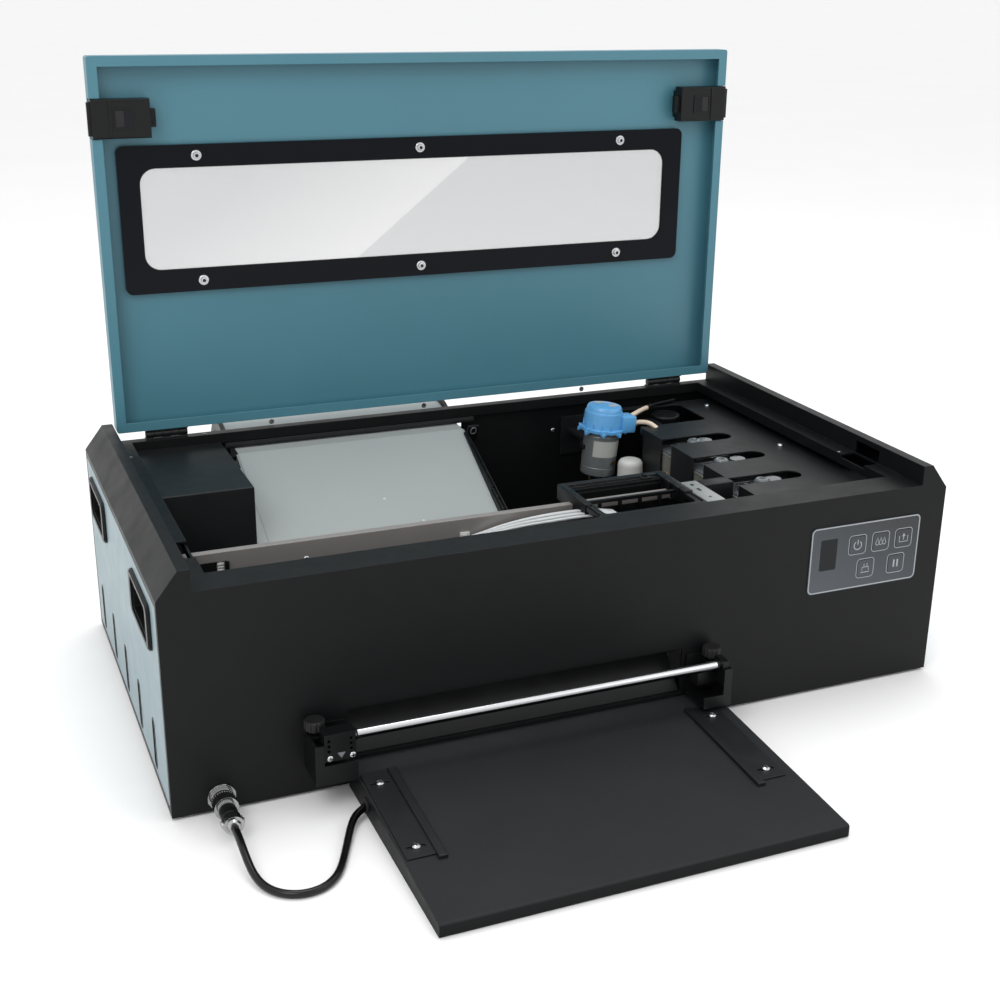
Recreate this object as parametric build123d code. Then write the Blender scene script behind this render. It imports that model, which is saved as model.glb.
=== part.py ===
"""Desktop film printer with a hinged lid, a sliding print carriage, an ink bay and a heated front tray.

Units are millimetres, +X is right, +Y is back and +Z is up.
Everything is first laid out from the front left bottom corner of the case.
save() then moves it, so that the origin is the middle of the whole machine's footprint, at floor level.
"""
import os
from math import atan2, cos, degrees, pi, radians, sin, tan

from build123d import *

# ---------------------------------------------------------------- driving dimensions: the case
CASE_W = 700.0          # overall width of the case
CASE_D = 380.0          # depth of the case, front panel to rear panel
RAIL_TOP = 204.0        # height of the two side rails
DECK_TOP = 186.5        # height of the ledge that the closed lid rests on
CHAMFER_START = 182.0   # where the outer top chamfer begins
CHAMFER_W = 17.0        # width of that chamfer
RAIL_W = 26.5           # width of each side rail
SIDE_LEDGE = 15.5       # lid ledge inside each rail
FRONT_LEDGE = 32.0      # lid ledge behind the front panel
REAR_LEDGE = 10.0       # ledge in front of the rear panel
SHEET = 2.0             # sheet steel thickness
SIDE_WALL = 3.0         # side wall, with the pocket for the coloured panel
FOOT_H = 2.5            # height of the rubber feet
LIP_H = 10.0            # turned-down lip of each ledge
GAP = 0.3               # clearance between pieces that move past each other

# ---------------------------------------------------------------- driving dimensions: lid
LID_L = 342.0           # hinge end to free end
LID_SIDE = 29.5         # distance of the lid's side from the case's side
LID_T = 17.0            # depth of the lid's folded edge
LID_SKIN = 1.6          # lid sheet thickness
LID_RIM = 9.0           # width of the return flange all round
HINGE_Y = CASE_D - 4.0  # hinge pin, over the rear ledge
HINGE_Z = 191.4
LID_REAR_Y = HINGE_Y - 4.4      # front face (the underside) of the open lid
LID_BOTTOM = 196.2              # lower edge of the open lid
WINDOW = (50.0, 628.0, 325.0, 460.0)      # window frame: x0, x1, z0, z1
PANE = (69.0, 608.0, 346.0, 440.0)        # clear part of the window
LATCH_Z = 485.0                 # height of the two latches on the open lid
LATCH_H = 34.0

# ---------------------------------------------------------------- driving dimensions: film path and tray
FILM_X0 = 140.0
FILM_X1 = 373.0
ROLL_R = 36.0
ROLL_Y = CASE_D + 48.0
ROLL_Z = 142.0
TRAY_X0 = 140.0
TRAY_X1 = 468.0
TRAY_REAR_H = 23.0
TRAY_FRONT_H = 11.0
TRAY_FRONT_Y = -208.0
BAR_R = 4.0
BAR_Y = -24.0
BAR_Z = 60.0
BAR_LIFT = 4.0

# ---------------------------------------------------------------- driving dimensions: carriage and ink bay
BEAM_Y = 108.0
BEAM_TOP = 170.0
ROD_R = 5.0
ROD_Y = 132.0
ROD_Z = 126.0
CARR_X0 = 386.0
CARR_X1 = 485.0
CARR_Y0 = 56.0
CARR_Y1 = 136.0
CARR_TOP = 172.0
BAY_X0 = 546.0
BAY_X1 = 672.0
BAY_TOP = 170.0
BAY_PITCH = 63.5
BAY_FIRST_Y = 45.5
BAY_SLOT = 21.0
PUMP_TILT = 5.0

# rear edge of the roll flanges, which sets the footprint
ROLL_FLANGE_R = 40.0
BACK_Y = ROLL_Y + ROLL_FLANGE_R
ORIGIN = Vector(CASE_W / 2, (BACK_Y + TRAY_FRONT_Y) / 2, 0)

TO_ORIGIN = Location((-ORIGIN.X, -ORIGIN.Y, -ORIGIN.Z))


# ---------------------------------------------------------------- helpers
def block(x0, x1, y0, y1, z0, z1):
    """A box given by its limits."""
    centre = ((x0 + x1) / 2, (y0 + y1) / 2, (z0 + z1) / 2)
    return Pos(*centre) * Box(abs(x1 - x0), abs(y1 - y0), abs(z1 - z0))


def rod_x(x0, x1, y, z, r):
    return Pos((x0 + x1) / 2, y, z) * Rot(0, 90, 0) * Cylinder(r, x1 - x0)


def rod_y(y0, y1, x, z, r):
    return Pos(x, (y0 + y1) / 2, z) * Rot(90, 0, 0) * Cylinder(r, y1 - y0)


def rod_z(z0, z1, x, y, r):
    return Pos(x, y, (z0 + z1) / 2) * Cylinder(r, z1 - z0)


def prism_y(points, y0, y1):
    """Extrude an outline of (x, z) points from y0 to y1."""
    face = make_face(Polyline(*[(x, y0, z) for x, z in points], close=True))
    return extrude(face, amount=y1 - y0, dir=(0, 1, 0))


def prism_x(points, x0, x1):
    """Extrude an outline of (y, z) points from x0 to x1."""
    face = make_face(Polyline(*[(x0, y, z) for y, z in points], close=True))
    return extrude(face, amount=x1 - x0, dir=(1, 0, 0))


def soften(shape, axis, radius):
    """Round every edge that runs along one axis."""
    return fillet(shape.edges().filter_by(axis), radius)


def save(name, shape):
    moved = TO_ORIGIN * shape
    solids = moved.solids()
    result = solids[0] if len(solids) == 1 else Compound(children=list(solids))
    export_step(result, f"parts/{name}.step")


def mirror_x(shape):
    """The same piece on the other side of the case."""
    return mirror(shape, about=Plane.YZ.offset(CASE_W / 2))


# ---------------------------------------------------------------- case
def base_pan():
    z0 = FOOT_H
    pan = block(SIDE_WALL, CASE_W - SIDE_WALL, SHEET, CASE_D - SHEET, z0, z0 + SHEET)
    for y0, y1 in ((SHEET, SHEET + 1.5), (CASE_D - SHEET - 1.5, CASE_D - SHEET)):
        pan += block(SIDE_WALL, CASE_W - SIDE_WALL, y0, y1, z0 + SHEET, z0 + SHEET + 12)
    for x0 in (SIDE_WALL, CASE_W - SIDE_WALL - 1.5):
        pan += block(x0, x0 + 1.5, SHEET, CASE_D - SHEET, z0 + SHEET, z0 + SHEET + 12)
    # notch for the round panel socket
    return pan - block(SOCKET_X - 10, SOCKET_X + 10, 0, 6, z0 + SHEET, z0 + SHEET + 14)


FOOT_X = (45.0, CASE_W - 45.0)
FOOT_Y = (45.0, CASE_D - 45.0)
FOOT_R = 13.0


def feet():
    pads = []
    for x in FOOT_X:
        for y in FOOT_Y:
            pad = rod_z(0, FOOT_H, x, y, FOOT_R)
            lower = pad.edges().group_by(Axis.Z)[0]
            pads.append(chamfer(lower, 0.8))
    return Compound(children=pads)


def case_outline():
    """Front view of the case, drawn as its left half and mirrored."""
    left = [(0, FOOT_H), (0, CHAMFER_START), (CHAMFER_W, RAIL_TOP), (RAIL_W, RAIL_TOP), (RAIL_W, DECK_TOP)]
    right = [(CASE_W - x, z) for x, z in reversed(left)]
    return left + right


EXIT_SLOT = (140.0, 438.0, 27.0, 68.0)      # x0, x1, z0, z1 of the film exit in the front panel
SOCKET_X = 38.0
SOCKET_Z = 15.0
SOCKET_HOLE_R = 8.2
OVERLAY = (560.0, 675.0, 98.0, 160.5)       # control panel: x0, x1, z0, z1


def front_panel():
    plate = prism_y(case_outline(), 0, SHEET)
    ledge = block(RAIL_W, CASE_W - RAIL_W, SHEET, FRONT_LEDGE, DECK_TOP - SHEET, DECK_TOP)
    lip = block(
        RAIL_W + SIDE_LEDGE, CASE_W - RAIL_W - SIDE_LEDGE,
        FRONT_LEDGE - SHEET, FRONT_LEDGE, DECK_TOP - LIP_H, DECK_TOP - SHEET,
    )
    panel = plate + ledge + lip
    x0, x1, z0, z1 = EXIT_SLOT
    panel -= block(x0, x1, -1, SHEET + 1, z0, z1)
    panel -= rod_y(-1, SHEET + 1, SOCKET_X, SOCKET_Z, SOCKET_HOLE_R)
    for x, z in KEY_PLACES:
        panel -= block(x - KEY / 2 - 1, x + KEY / 2 + 1, -1, SHEET + 1, z - KEY / 2 - 1, z + KEY / 2 + 1)
    return panel


GRIP_Y = ((32.0, 115.0), (CASE_D - 115.0, CASE_D - 32.0))
GRIP_Z = (130.0, 164.0)
VENT_PITCH = 70.0
VENT_Y = [62.0 + VENT_PITCH * i for i in range(5)]
VENT_Z = (14.0, 56.0)
VENT_W = 8.0
PANEL_POCKET = 1.2
PANEL_BORDER = 6.0


def side_cuts(x0, x1):
    """The grip windows and vents that go through the side wall and its panel."""
    cuts = []
    for y0, y1 in GRIP_Y:
        hole = block(x0, x1, y0, y1, *GRIP_Z)
        cuts.append(soften(hole, Axis.X, 5))
    for y in VENT_Y:
        slot = block(x0, x1, y - VENT_W / 2, y + VENT_W / 2, *VENT_Z)
        cuts.append(soften(slot, Axis.X, VENT_W / 2 - 0.1))
    return cuts


def left_side_frame():
    t = SHEET
    w = SIDE_WALL
    outline = [
        (0, FOOT_H), (0, CHAMFER_START), (CHAMFER_W, RAIL_TOP), (RAIL_W, RAIL_TOP), (RAIL_W, DECK_TOP),
        (RAIL_W + SIDE_LEDGE, DECK_TOP), (RAIL_W + SIDE_LEDGE, DECK_TOP - LIP_H),
        (RAIL_W + SIDE_LEDGE - t, DECK_TOP - LIP_H), (RAIL_W + SIDE_LEDGE - t, DECK_TOP - t),
        (RAIL_W - t, DECK_TOP - t), (RAIL_W - t, RAIL_TOP - t), (CHAMFER_W + 1, RAIL_TOP - t),
        (w, CHAMFER_START - 1), (w, FOOT_H),
    ]
    frame = prism_y(outline, SHEET, CASE_D - SHEET)
    # the ledge stops at the front and rear ledges, which overlap it
    for y0, y1 in ((SHEET, FRONT_LEDGE), (CASE_D - REAR_LEDGE, CASE_D - SHEET)):
        frame -= block(RAIL_W, RAIL_W + SIDE_LEDGE + 1, y0, y1, DECK_TOP - LIP_H - 1, DECK_TOP + 1)
    z0, z1 = FOOT_H + PANEL_BORDER, CHAMFER_START - PANEL_BORDER
    frame -= block(-1, PANEL_POCKET, PANEL_BORDER, CASE_D - PANEL_BORDER, z0, z1)
    for cut in side_cuts(-1, w + 1):
        frame -= cut
    # slot in the rail for the latch bolt, and a notch in the ledge for the latch housing
    frame -= block(RAIL_W - t - 1, RAIL_W + 1, *LATCH_POCKET_Y, DECK_TOP + 0.1, DECK_TOP + 12)
    frame -= block(RAIL_W, RAIL_W + SIDE_LEDGE + 1, *LATCH_POCKET_Y, DECK_TOP - 3.5, DECK_TOP + 1)
    return frame


def inset_panel():
    z0, z1 = FOOT_H + PANEL_BORDER + GAP, CHAMFER_START - PANEL_BORDER - GAP
    y0, y1 = PANEL_BORDER + GAP, CASE_D - PANEL_BORDER - GAP
    panel = soften(block(0, PANEL_POCKET, y0, y1, z0, z1), Axis.X, 3)
    for cut in side_cuts(-1, PANEL_POCKET + 1):
        panel -= cut
    return panel


GRIP_DEPTH = 20.0


def grip_cup(y0, y1):
    """A moulded pocket behind the grip window, open to the outside."""
    z0, z1 = GRIP_Z
    cup = soften(block(SIDE_WALL, SIDE_WALL + GRIP_DEPTH, y0 - 3, y1 + 3, z0 - 3, z1 + 3), Axis.X, 6)
    hollow = soften(block(-1, SIDE_WALL + GRIP_DEPTH - 1.6, y0 - 1, y1 + 1, z0 - 1, z1 + 1), Axis.X, 5)
    return cup - hollow


def hand_grip_cups():
    left = [grip_cup(y0, y1) for y0, y1 in GRIP_Y]
    return Compound(children=left + [mirror_x(c) for c in left])


REAR_SLOT = (FILM_X0 - 8, FILM_X1 + 8, 158.0, 172.0)      # film inlet in the rear panel
INLET = (60.0, 108.0, 40.0, 67.0)                         # mains inlet opening


def rear_panel():
    panel = prism_y(case_outline(), CASE_D - SHEET, CASE_D)
    panel += block(
        RAIL_W, CASE_W - RAIL_W, CASE_D - REAR_LEDGE, CASE_D - SHEET, DECK_TOP - SHEET, DECK_TOP,
    )
    panel += block(
        RAIL_W + SIDE_LEDGE, CASE_W - RAIL_W - SIDE_LEDGE,
        CASE_D - REAR_LEDGE, CASE_D - REAR_LEDGE + SHEET, DECK_TOP - LIP_H, DECK_TOP - SHEET,
    )
    x0, x1, z0, z1 = REAR_SLOT
    panel -= block(x0, x1, CASE_D - SHEET - 1, CASE_D + 1, z0, z1)
    x0, x1, z0, z1 = INLET
    panel -= block(x0, x1, CASE_D - SHEET - 1, CASE_D + 1, z0, z1)
    for i in range(12):
        x = 480.0 + 12 * i
        slot = block(x, x + 4, CASE_D - SHEET - 1, CASE_D + 1, 14, 50)
        panel -= soften(slot, Axis.Y, 1.9)
    return panel


# ---------------------------------------------------------------- electronics
ELEC = (44.0, 126.5, 230.0, CASE_D - SHEET - 8.0, FOOT_H + SHEET, 178.0)   # x0, x1, y0, y1, z0, z1


def electronics_cover():
    x0, x1, y0, y1, z0, z1 = ELEC
    outer = block(x0, x1, y0, y1, z0, z1)
    outer = fillet(outer.edges().group_by(Axis.Z)[-1], 1.0)
    cover = outer - block(x0 + 1.5, x1 - 1.5, y0 + 1.5, y1 - 1.5, z0 - 1, z1 - 1.5)
    a0, a1, b0, b1 = INLET
    return cover - block(a0 - 1, a1 + 1, y1 - 3, y1 + 1, b0 - 1, b1 + 1)


def power_inlet():
    x0, x1, z0, z1 = INLET
    y = CASE_D
    flange = soften(block(x0 - 6, x1 + 6, y, y + 2.5, z0 - 3, z1 + 3), Axis.Y, 3)
    body = block(x0 + GAP, x1 - GAP, y - 22, y, z0 + GAP, z1 - GAP)
    inlet = flange + body
    socket = soften(block(x0 + 3, x1 - 18, y - 18, y + 3, z0 + 4, z1 - 4), Axis.Y, 3)
    inlet -= socket
    for dx, dz in ((8.0, 0.0), (13.5, 3.5), (19.0, 0.0)):
        inlet += block(x0 + dx - 1, x0 + dx + 1, y - 18, y - 3, 50 + dz, 55 + dz)
    return inlet


# ---------------------------------------------------------------- film path
GUIDE_TOP = (CASE_D - 24.0, 168.0)     # y, z of the guide plate's upper edge
GUIDE_LOW = (158.0, 82.0)              # y, z of its lower edge
GUIDE_LEFT = 128.5                     # its lower part runs on to the electronics cover
GUIDE_DX = (GUIDE_TOP[0] - GUIDE_LOW[0], GUIDE_TOP[1] - GUIDE_LOW[1])
GUIDE_LEN = (GUIDE_DX[0] ** 2 + GUIDE_DX[1] ** 2) ** 0.5
GUIDE_TILT = degrees(atan2(GUIDE_DX[1], GUIDE_DX[0]))


def on_guide(shape):
    """Place a piece drawn flat, with y from 0 to GUIDE_LEN, on the sloping guide."""
    return Pos(0, GUIDE_LOW[0], GUIDE_LOW[1]) * Rot(GUIDE_TILT, 0, 0) * shape


def film_guide_plate():
    x0, x1 = FILM_X0 - 2, FILM_X1 + 2
    plate = block(x0, x1, 0, GUIDE_LEN, -1.5, 0)
    plate += block(GUIDE_LEFT, x0, 6, GUIDE_LEN - 20, -1.5, 0)
    plate += block(x0, x1, 0, 1.5, -14, -1.5)
    for x, y in ((180, 60), (262, 150), (340, 110), (230, 90)):
        plate -= rod_z(-3, 1, x, y, 1.6)
    plate = on_guide(plate)
    y, z = GUIDE_TOP
    plate += block(x0, x1, y - 2.5, y - 1, z - 14, z - 2.5)
    plate += block(x0, x1, y - 2.5, CASE_D - SHEET, z - 15.5, z - 14)
    for x in (x0, x1 - 6):
        plate += block(x, x + 6, GUIDE_LOW[0] + 6, GUIDE_LOW[0] + 9, FOOT_H + SHEET, GUIDE_LOW[1] + 2)
    return plate


def film_web():
    """Film from the roll, through the rear slot and down the guide plate to the feed roller."""
    t = 0.3
    lift = 0.2
    up = (cos(radians(GUIDE_TILT)), sin(radians(GUIDE_TILT)))
    normal = (-up[1], up[0])
    low = (GUIDE_LOW[0] + 6 * up[0] + lift * normal[0], GUIDE_LOW[1] + 6 * up[1] + lift * normal[1])
    top = (GUIDE_TOP[0] + lift * normal[0], GUIDE_TOP[1] + lift * normal[1])
    rear = (ROLL_Y - ROLL_R * 0.6, ROLL_Z + ROLL_R * 0.86 + 1.0)
    pts = [low, top, (CASE_D + 2, 170.0), rear]
    upper = [(y, z + t) for y, z in reversed(pts)]
    return prism_x(pts + upper, FILM_X0, FILM_X1)


def film_roll():
    roll = rod_x(FILM_X0, FILM_X1, ROLL_Y, ROLL_Z, ROLL_R)
    roll -= rod_x(FILM_X0 - 1, FILM_X1 + 1, ROLL_Y, ROLL_Z, 9.0)
    spindle = rod_x(FILM_X0 - 24, FILM_X1 + 24, ROLL_Y, ROLL_Z, 6.0)
    for x in (FILM_X0 - 5, FILM_X1):
        flange = rod_x(x, x + 5, ROLL_Y, ROLL_Z, ROLL_FLANGE_R)
        spindle += fillet(flange.edges(), 1.2)
        spindle += rod_x(x - 12 if x < 200 else x + 5, x if x < 200 else x + 17, ROLL_Y, ROLL_Z, 11.0)
    for x in (FILM_X0, FILM_X1 - 12):
        spindle += rod_x(x, x + 12, ROLL_Y, ROLL_Z, 8.9)
    return Compound(children=[roll.solid(), spindle.solid()])


def roll_brackets():
    arms = []
    for x0 in (FILM_X0 - 22.5, FILM_X1 + 18.5):
        outline = [
            (CASE_D, ROLL_Z - 52), (CASE_D, ROLL_Z + 14), (CASE_D + 12, ROLL_Z + 14), (ROLL_Y - 7, ROLL_Z + 8),
            (ROLL_Y + 12, ROLL_Z + 8), (ROLL_Y + 12, ROLL_Z - 12), (CASE_D + 22, ROLL_Z - 52),
        ]
        arm = prism_x(outline, x0, x0 + 4)
        arm -= rod_x(x0 - 1, x0 + 5, ROLL_Y, ROLL_Z, 6.4)
        arm -= block(x0 - 1, x0 + 5, ROLL_Y - 6.4, ROLL_Y + 6.4, ROLL_Z, ROLL_Z + 20)
        foot = block(x0 - 10, x0 + 14, CASE_D, CASE_D + 4, ROLL_Z - 52, ROLL_Z + 14)
        for z in (ROLL_Z - 40, ROLL_Z + 2):
            foot -= rod_y(CASE_D - 1, CASE_D + 5, x0 - 5, z, 2.2)
            foot -= rod_y(CASE_D - 1, CASE_D + 5, x0 + 9, z, 2.2)
        arms.append((arm + foot).solid())
    return Compound(children=arms)


FEED_Y = 151.5
FEED_Z = 86.0


def platen():
    plate = block(FILM_X0 - 14, FILM_X1 + 20, 66, 146, 92, 98)
    for i in range(17):
        x = FILM_X0 - 6 + 15.5 * i
        plate -= block(x, x + 8, 74, 138, 96.5, 99)
    for x in (FILM_X0 - 14, FILM_X1 + 14):
        plate += block(x, x + 6, 66, 162, FOOT_H + SHEET, 92)
    plate -= rod_x(FILM_X0 - 20, FILM_X1 + 30, FEED_Y, FEED_Z, 4.06)
    x0, x1, z0, z1 = EXIT_SLOT
    chute = prism_x([(0.0, 27.3), (0.0, 29.3), (66, 98), (66, 92)], x0 + 2, x1 - 2)
    return plate + chute


def feed_roller():
    """Steel shaft with rubber sleeves that draws the film over the platen, and its gear."""
    shaft = rod_x(FILM_X0 - 34, FILM_X1 + 28, FEED_Y, FEED_Z, 4)
    for i in range(6):
        x = FILM_X0 + 6 + 39 * i
        shaft += rod_x(x, x + 28, FEED_Y, FEED_Z, 5)
    gear = rod_x(FILM_X0 - 38, FILM_X0 - 32, FEED_Y, FEED_Z, 14)
    for i in range(24):
        a = 2 * pi * i / 24
        y, z = FEED_Y + 14 * cos(a), FEED_Z + 14 * sin(a)
        gear -= rod_x(FILM_X0 - 39, FILM_X0 - 31, y, z, 0.9)
    return shaft + gear


# ---------------------------------------------------------------- carriage drive
def carriage_beam():
    """Folded steel beam: a front wall, a top edge and a foot at each end."""
    beam = block(38, 545, BEAM_Y, BEAM_Y + 2, 112, BEAM_TOP)
    beam += block(38, 545, BEAM_Y + 2, BEAM_Y + 7, BEAM_TOP - 2, BEAM_TOP)
    for x0 in (38, 530):
        beam += block(x0, x0 + 15, BEAM_Y, BEAM_Y + 2, FOOT_H + SHEET, 112)
        beam += block(x0, x0 + 2 if x0 < 100 else x0 + 15, BEAM_Y + 2, ROD_Y + 12, 112, 140)
    beam -= rod_x(30, 560, ROD_Y, ROD_Z, ROD_R + 0.02)
    # window and hole beside the idler pulley
    beam -= block(51, 72, BEAM_Y - 1, BEAM_Y + 3, 147, 162)
    beam -= rod_y(BEAM_Y - 1, BEAM_Y + 3, 80, 152, 1.8)
    # stub shafts riveted into the beam for the belt pulleys
    for x in (IDLER_X, DRIVE_X):
        beam += rod_y(BEAM_Y, PULLEY_Y + 6.5, x, PULLEY_Z, 2.0)
    return beam


def guide_rod():
    return rod_x(38, 545, ROD_Y, ROD_Z, ROD_R)


PULLEY_R = 6.0
PULLEY_Y = BEAM_Y + 11.0
PULLEY_Z = 154.0
IDLER_X = 76.0
DRIVE_X = 532.0


def belt_pulley(x):
    wheel = rod_y(PULLEY_Y - 3.2, PULLEY_Y + 3.2, x, PULLEY_Z, PULLEY_R)
    for y in (PULLEY_Y - 4.4, PULLEY_Y + 3.2):
        wheel += rod_y(y, y + 1.2, x, PULLEY_Z, PULLEY_R + 2)
    return wheel - rod_y(PULLEY_Y - 6, PULLEY_Y + 6, x, PULLEY_Z, 2.05)


def carriage_belt():
    """Toothed belt round the two pulleys, drawn at its pitch line."""
    def loop(r):
        return (
            block(IDLER_X, DRIVE_X, PULLEY_Y - 2.8, PULLEY_Y + 2.8, PULLEY_Z - r, PULLEY_Z + r)
            + rod_y(PULLEY_Y - 2.8, PULLEY_Y + 2.8, IDLER_X, PULLEY_Z, r)
            + rod_y(PULLEY_Y - 2.8, PULLEY_Y + 2.8, DRIVE_X, PULLEY_Z, r)
        )
    return loop(PULLEY_R + 1.5) - loop(PULLEY_R + 0.35)


def carriage():
    """Open moulded box on the guide rod, hooked over the beam's top edge."""
    x0, x1, y0, y1 = CARR_X0, CARR_X1, CARR_Y0, CARR_Y1
    wall = 2.2
    z0 = 118.0
    # front tub, in front of the beam
    tub = soften(block(x0, x1, y0, BEAM_Y - 3, z0, CARR_TOP - 8), Axis.Z, 4)
    tub -= block(x0 + wall, x1 - wall, y0 + wall, BEAM_Y - 3 - wall, z0 + 6, CARR_TOP)
    for i in range(5):
        x = x0 + 16 + 17 * i
        tub += block(x, x + 1.6, y0 + wall - 0.1, BEAM_Y - 3 - wall + 0.1, z0 + 6, CARR_TOP - 22)
    for z in (134.0, 148.0):
        tub += block(x0 + 4, x1 - 4, y0 - 1.6, y0 + 0.1, z, z + 2)
    # rear tub, behind the belt
    y2 = PULLEY_Y + 7.0
    rear = block(x0, x1, y2, y1, 140.0, CARR_TOP)
    rear -= block(x0 + wall, x1 - wall, y2 + wall, y1 - wall, 146.0, CARR_TOP + 1)
    for i in range(4):
        x = x0 + 20 + 20 * i
        rear += block(x, x + 1.6, y2 + wall - 0.1, y1 - wall + 0.1, 146.0, CARR_TOP - 8)
    saddle = block(x0 + 6, x1 - 6, y2, ROD_Y + 12, 114.0, 140.0)
    saddle -= rod_x(x0 - 1, x1 + 1, ROD_Y, ROD_Z, ROD_R + 0.08)
    # the frame round the top that joins both tubs over the beam
    frame = block(x0 - 3, x1 + 3, y0 - 3, y1 + 3, CARR_TOP, CARR_TOP + 4)
    frame = soften(frame, Axis.Z, 6)
    frame -= soften(block(x0 + 5, x1 - 5, y0 + 5, y1 - 5, CARR_TOP - 1, CARR_TOP + 5), Axis.Z, 4)
    for y in (96, 128):
        frame += block(x0 + 4, x1 - 4, y, y + 3, CARR_TOP, CARR_TOP + 3)
    for x in (x0, x1 - 12):
        frame += block(x, x + 12, y0, y0 + 14, CARR_TOP - 9, CARR_TOP)
    # belt clamp over the upper run of the belt
    z3 = PULLEY_Z + PULLEY_R + 2.0
    clamp = block(x0 + 40, x0 + 60, PULLEY_Y - 2, y2 + 0.1, z3, z3 + 3.0)
    return tub + rear + saddle + frame + clamp


def print_head():
    head = block(CARR_X0 + 20, CARR_X1 - 20, CARR_Y0 + 8, BEAM_Y - 12, 108, 118)
    head += block(CARR_X0 + 28, CARR_X1 - 28, CARR_Y0 + 14, BEAM_Y - 18, 104, 108)
    return head


# ---------------------------------------------------------------- ink bay
def bay_slot_y(i):
    return BAY_FIRST_Y + BAY_PITCH * i


BAY_Y0 = 31.0
BAY_Y1 = 362.0
SLOT_END = 608.5         # centre of the round end of each finger slot
BAY_HOLE_Y = (292.0, 353.0)
CAP_X = 597.0
CAP_Y = 331.0
CAP_R = 15.5


def ink_bay_cover():
    """Folded sheet over the ink tanks, with finger slots open to the left."""
    t = 1.5
    top = block(BAY_X0, BAY_X1, BAY_Y0, BAY_Y1, BAY_TOP - t, BAY_TOP)
    skirt = block(BAY_X0, BAY_X0 + t, BAY_Y0, 285.0, 92, BAY_TOP - t)
    right = block(BAY_X1 - t, BAY_X1, BAY_Y0, BAY_Y1, FOOT_H + SHEET, BAY_TOP - t)
    cover = top + skirt + right
    for i in range(4):
        y = bay_slot_y(i)
        slot = block(BAY_X0 - 1, SLOT_END, y - BAY_SLOT / 2, y + BAY_SLOT / 2, BAY_TOP - t - 1, BAY_TOP + 1)
        slot += rod_z(BAY_TOP - t - 1, BAY_TOP + 1, SLOT_END, y, BAY_SLOT / 2)
        cover -= slot
        cover -= block(BAY_X0 - 1, BAY_X0 + t + 1, y - BAY_SLOT / 2, y + BAY_SLOT / 2, 91, BAY_TOP)
    hole = block(BAY_X0 - 1, 625, *BAY_HOLE_Y, BAY_TOP - t - 1, BAY_TOP + 1)
    cover -= soften(hole, Axis.Z, 6)
    cover -= block(BAY_X0 - 1, BAY_X0 + 8, *BAY_HOLE_Y, BAY_TOP - t - 1, BAY_TOP + 1)
    return cover


TANK_W = 54.0


def ink_tanks():
    tanks = []
    for i in range(4):
        y = bay_slot_y(i)
        y0 = max(y - TANK_W / 2, BAY_Y0 + 2)
        tank = block(BAY_X0 + 3, 656, y0, y + TANK_W / 2, FOOT_H + SHEET, 158)
        tank = soften(tank, Axis.Z, 3)
        tank += rod_z(158, 161, 590, y, 9)
        tank += rod_z(161, 168, 590, y, 7.5)
        tanks.append(tank.solid())
    return Compound(children=tanks)


def bottle():
    """Cleaning fluid bottle under the rear opening of the bay, with the block that takes both hoses."""
    body = rod_z(FOOT_H + SHEET, 140, CAP_X, CAP_Y, 26)
    body = fillet(body.edges().group_by(Axis.Z)[-1], 3)
    body += rod_z(140, 150, CAP_X, CAP_Y, 14)
    body += block(573, 578.5, 320, 328, 138, 152)
    return body + soften(block(562, 579, 304, 328, 152, 166), Axis.Z, 2)


def bottle_cap():
    cap = rod_z(150.4, 168, CAP_X, CAP_Y, CAP_R)
    cap = fillet(cap.edges().group_by(Axis.Z)[-1], 2)
    for i in range(24):
        a = 2 * pi * i / 24
        cap -= rod_z(149, 164, CAP_X + (CAP_R + 0.4) * cos(a), CAP_Y + (CAP_R + 0.4) * sin(a), 1.0)
    return cap


def capping_station():
    """Sled under the parked print head: a body with two capping cups."""
    body = block(402, 484, 68, 104, FOOT_H + SHEET, 97)
    body += block(410, 474, 70, 98, 97, 103)
    body -= block(414, 440, 73, 94, 99, 104)
    body -= block(444, 470, 73, 94, 99, 104)
    return body


# ---------------------------------------------------------------- pump
PUMP = Pos(515, 318, 163) * Rot(0, PUMP_TILT, 0)
PUMP_R = 20.5
MOTOR_R = 18.3


def pump_head():
    """Housing of the hose pump: a drum with a snap-on skirt and a hose outlet."""
    drum = Cylinder(PUMP_R, 27.5, align=(Align.CENTER, Align.CENTER, Align.MIN))
    drum = fillet(drum.edges().group_by(Axis.Z)[-1], 2.5)
    outlet = Pos(17, -8, 9) * Box(28, 18, 18)
    flange = Cylinder(PUMP_R + 2.5, 4, align=(Align.CENTER, Align.CENTER, Align.MIN))
    head = drum + outlet + flange
    for a in (20, 110, 200, 290):
        tab = Rot(0, 0, a) * Pos(PUMP_R + 2, 0, 3) * Box(6, 7, 6)
        head += tab
    head -= Pos(0, 0, 4) * Cylinder(PUMP_R - 3, 20, align=(Align.CENTER, Align.CENTER, Align.MIN))
    head -= Pos(0, 0, -1) * Cylinder(3.2, 8, align=(Align.CENTER, Align.CENTER, Align.MIN))
    return PUMP * head


def pump_rotor():
    hub = Pos(0, 0, 6) * Cylinder(5, 14, align=(Align.CENTER, Align.CENTER, Align.MIN))
    arm = Pos(0, 0, 6) * Cylinder(12, 1.5, align=(Align.CENTER, Align.CENTER, Align.MIN))
    rotor = hub + arm
    for a in (0, 120, 240):
        rotor += Rot(0, 0, a) * Pos(9.5, 0, 7) * Cylinder(3, 12, align=(Align.CENTER, Align.CENTER, Align.MIN))
    rotor += Pos(0, 0, 0.5) * Cylinder(2.0, 6, align=(Align.CENTER, Align.CENTER, Align.MIN))
    return PUMP * rotor


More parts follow.
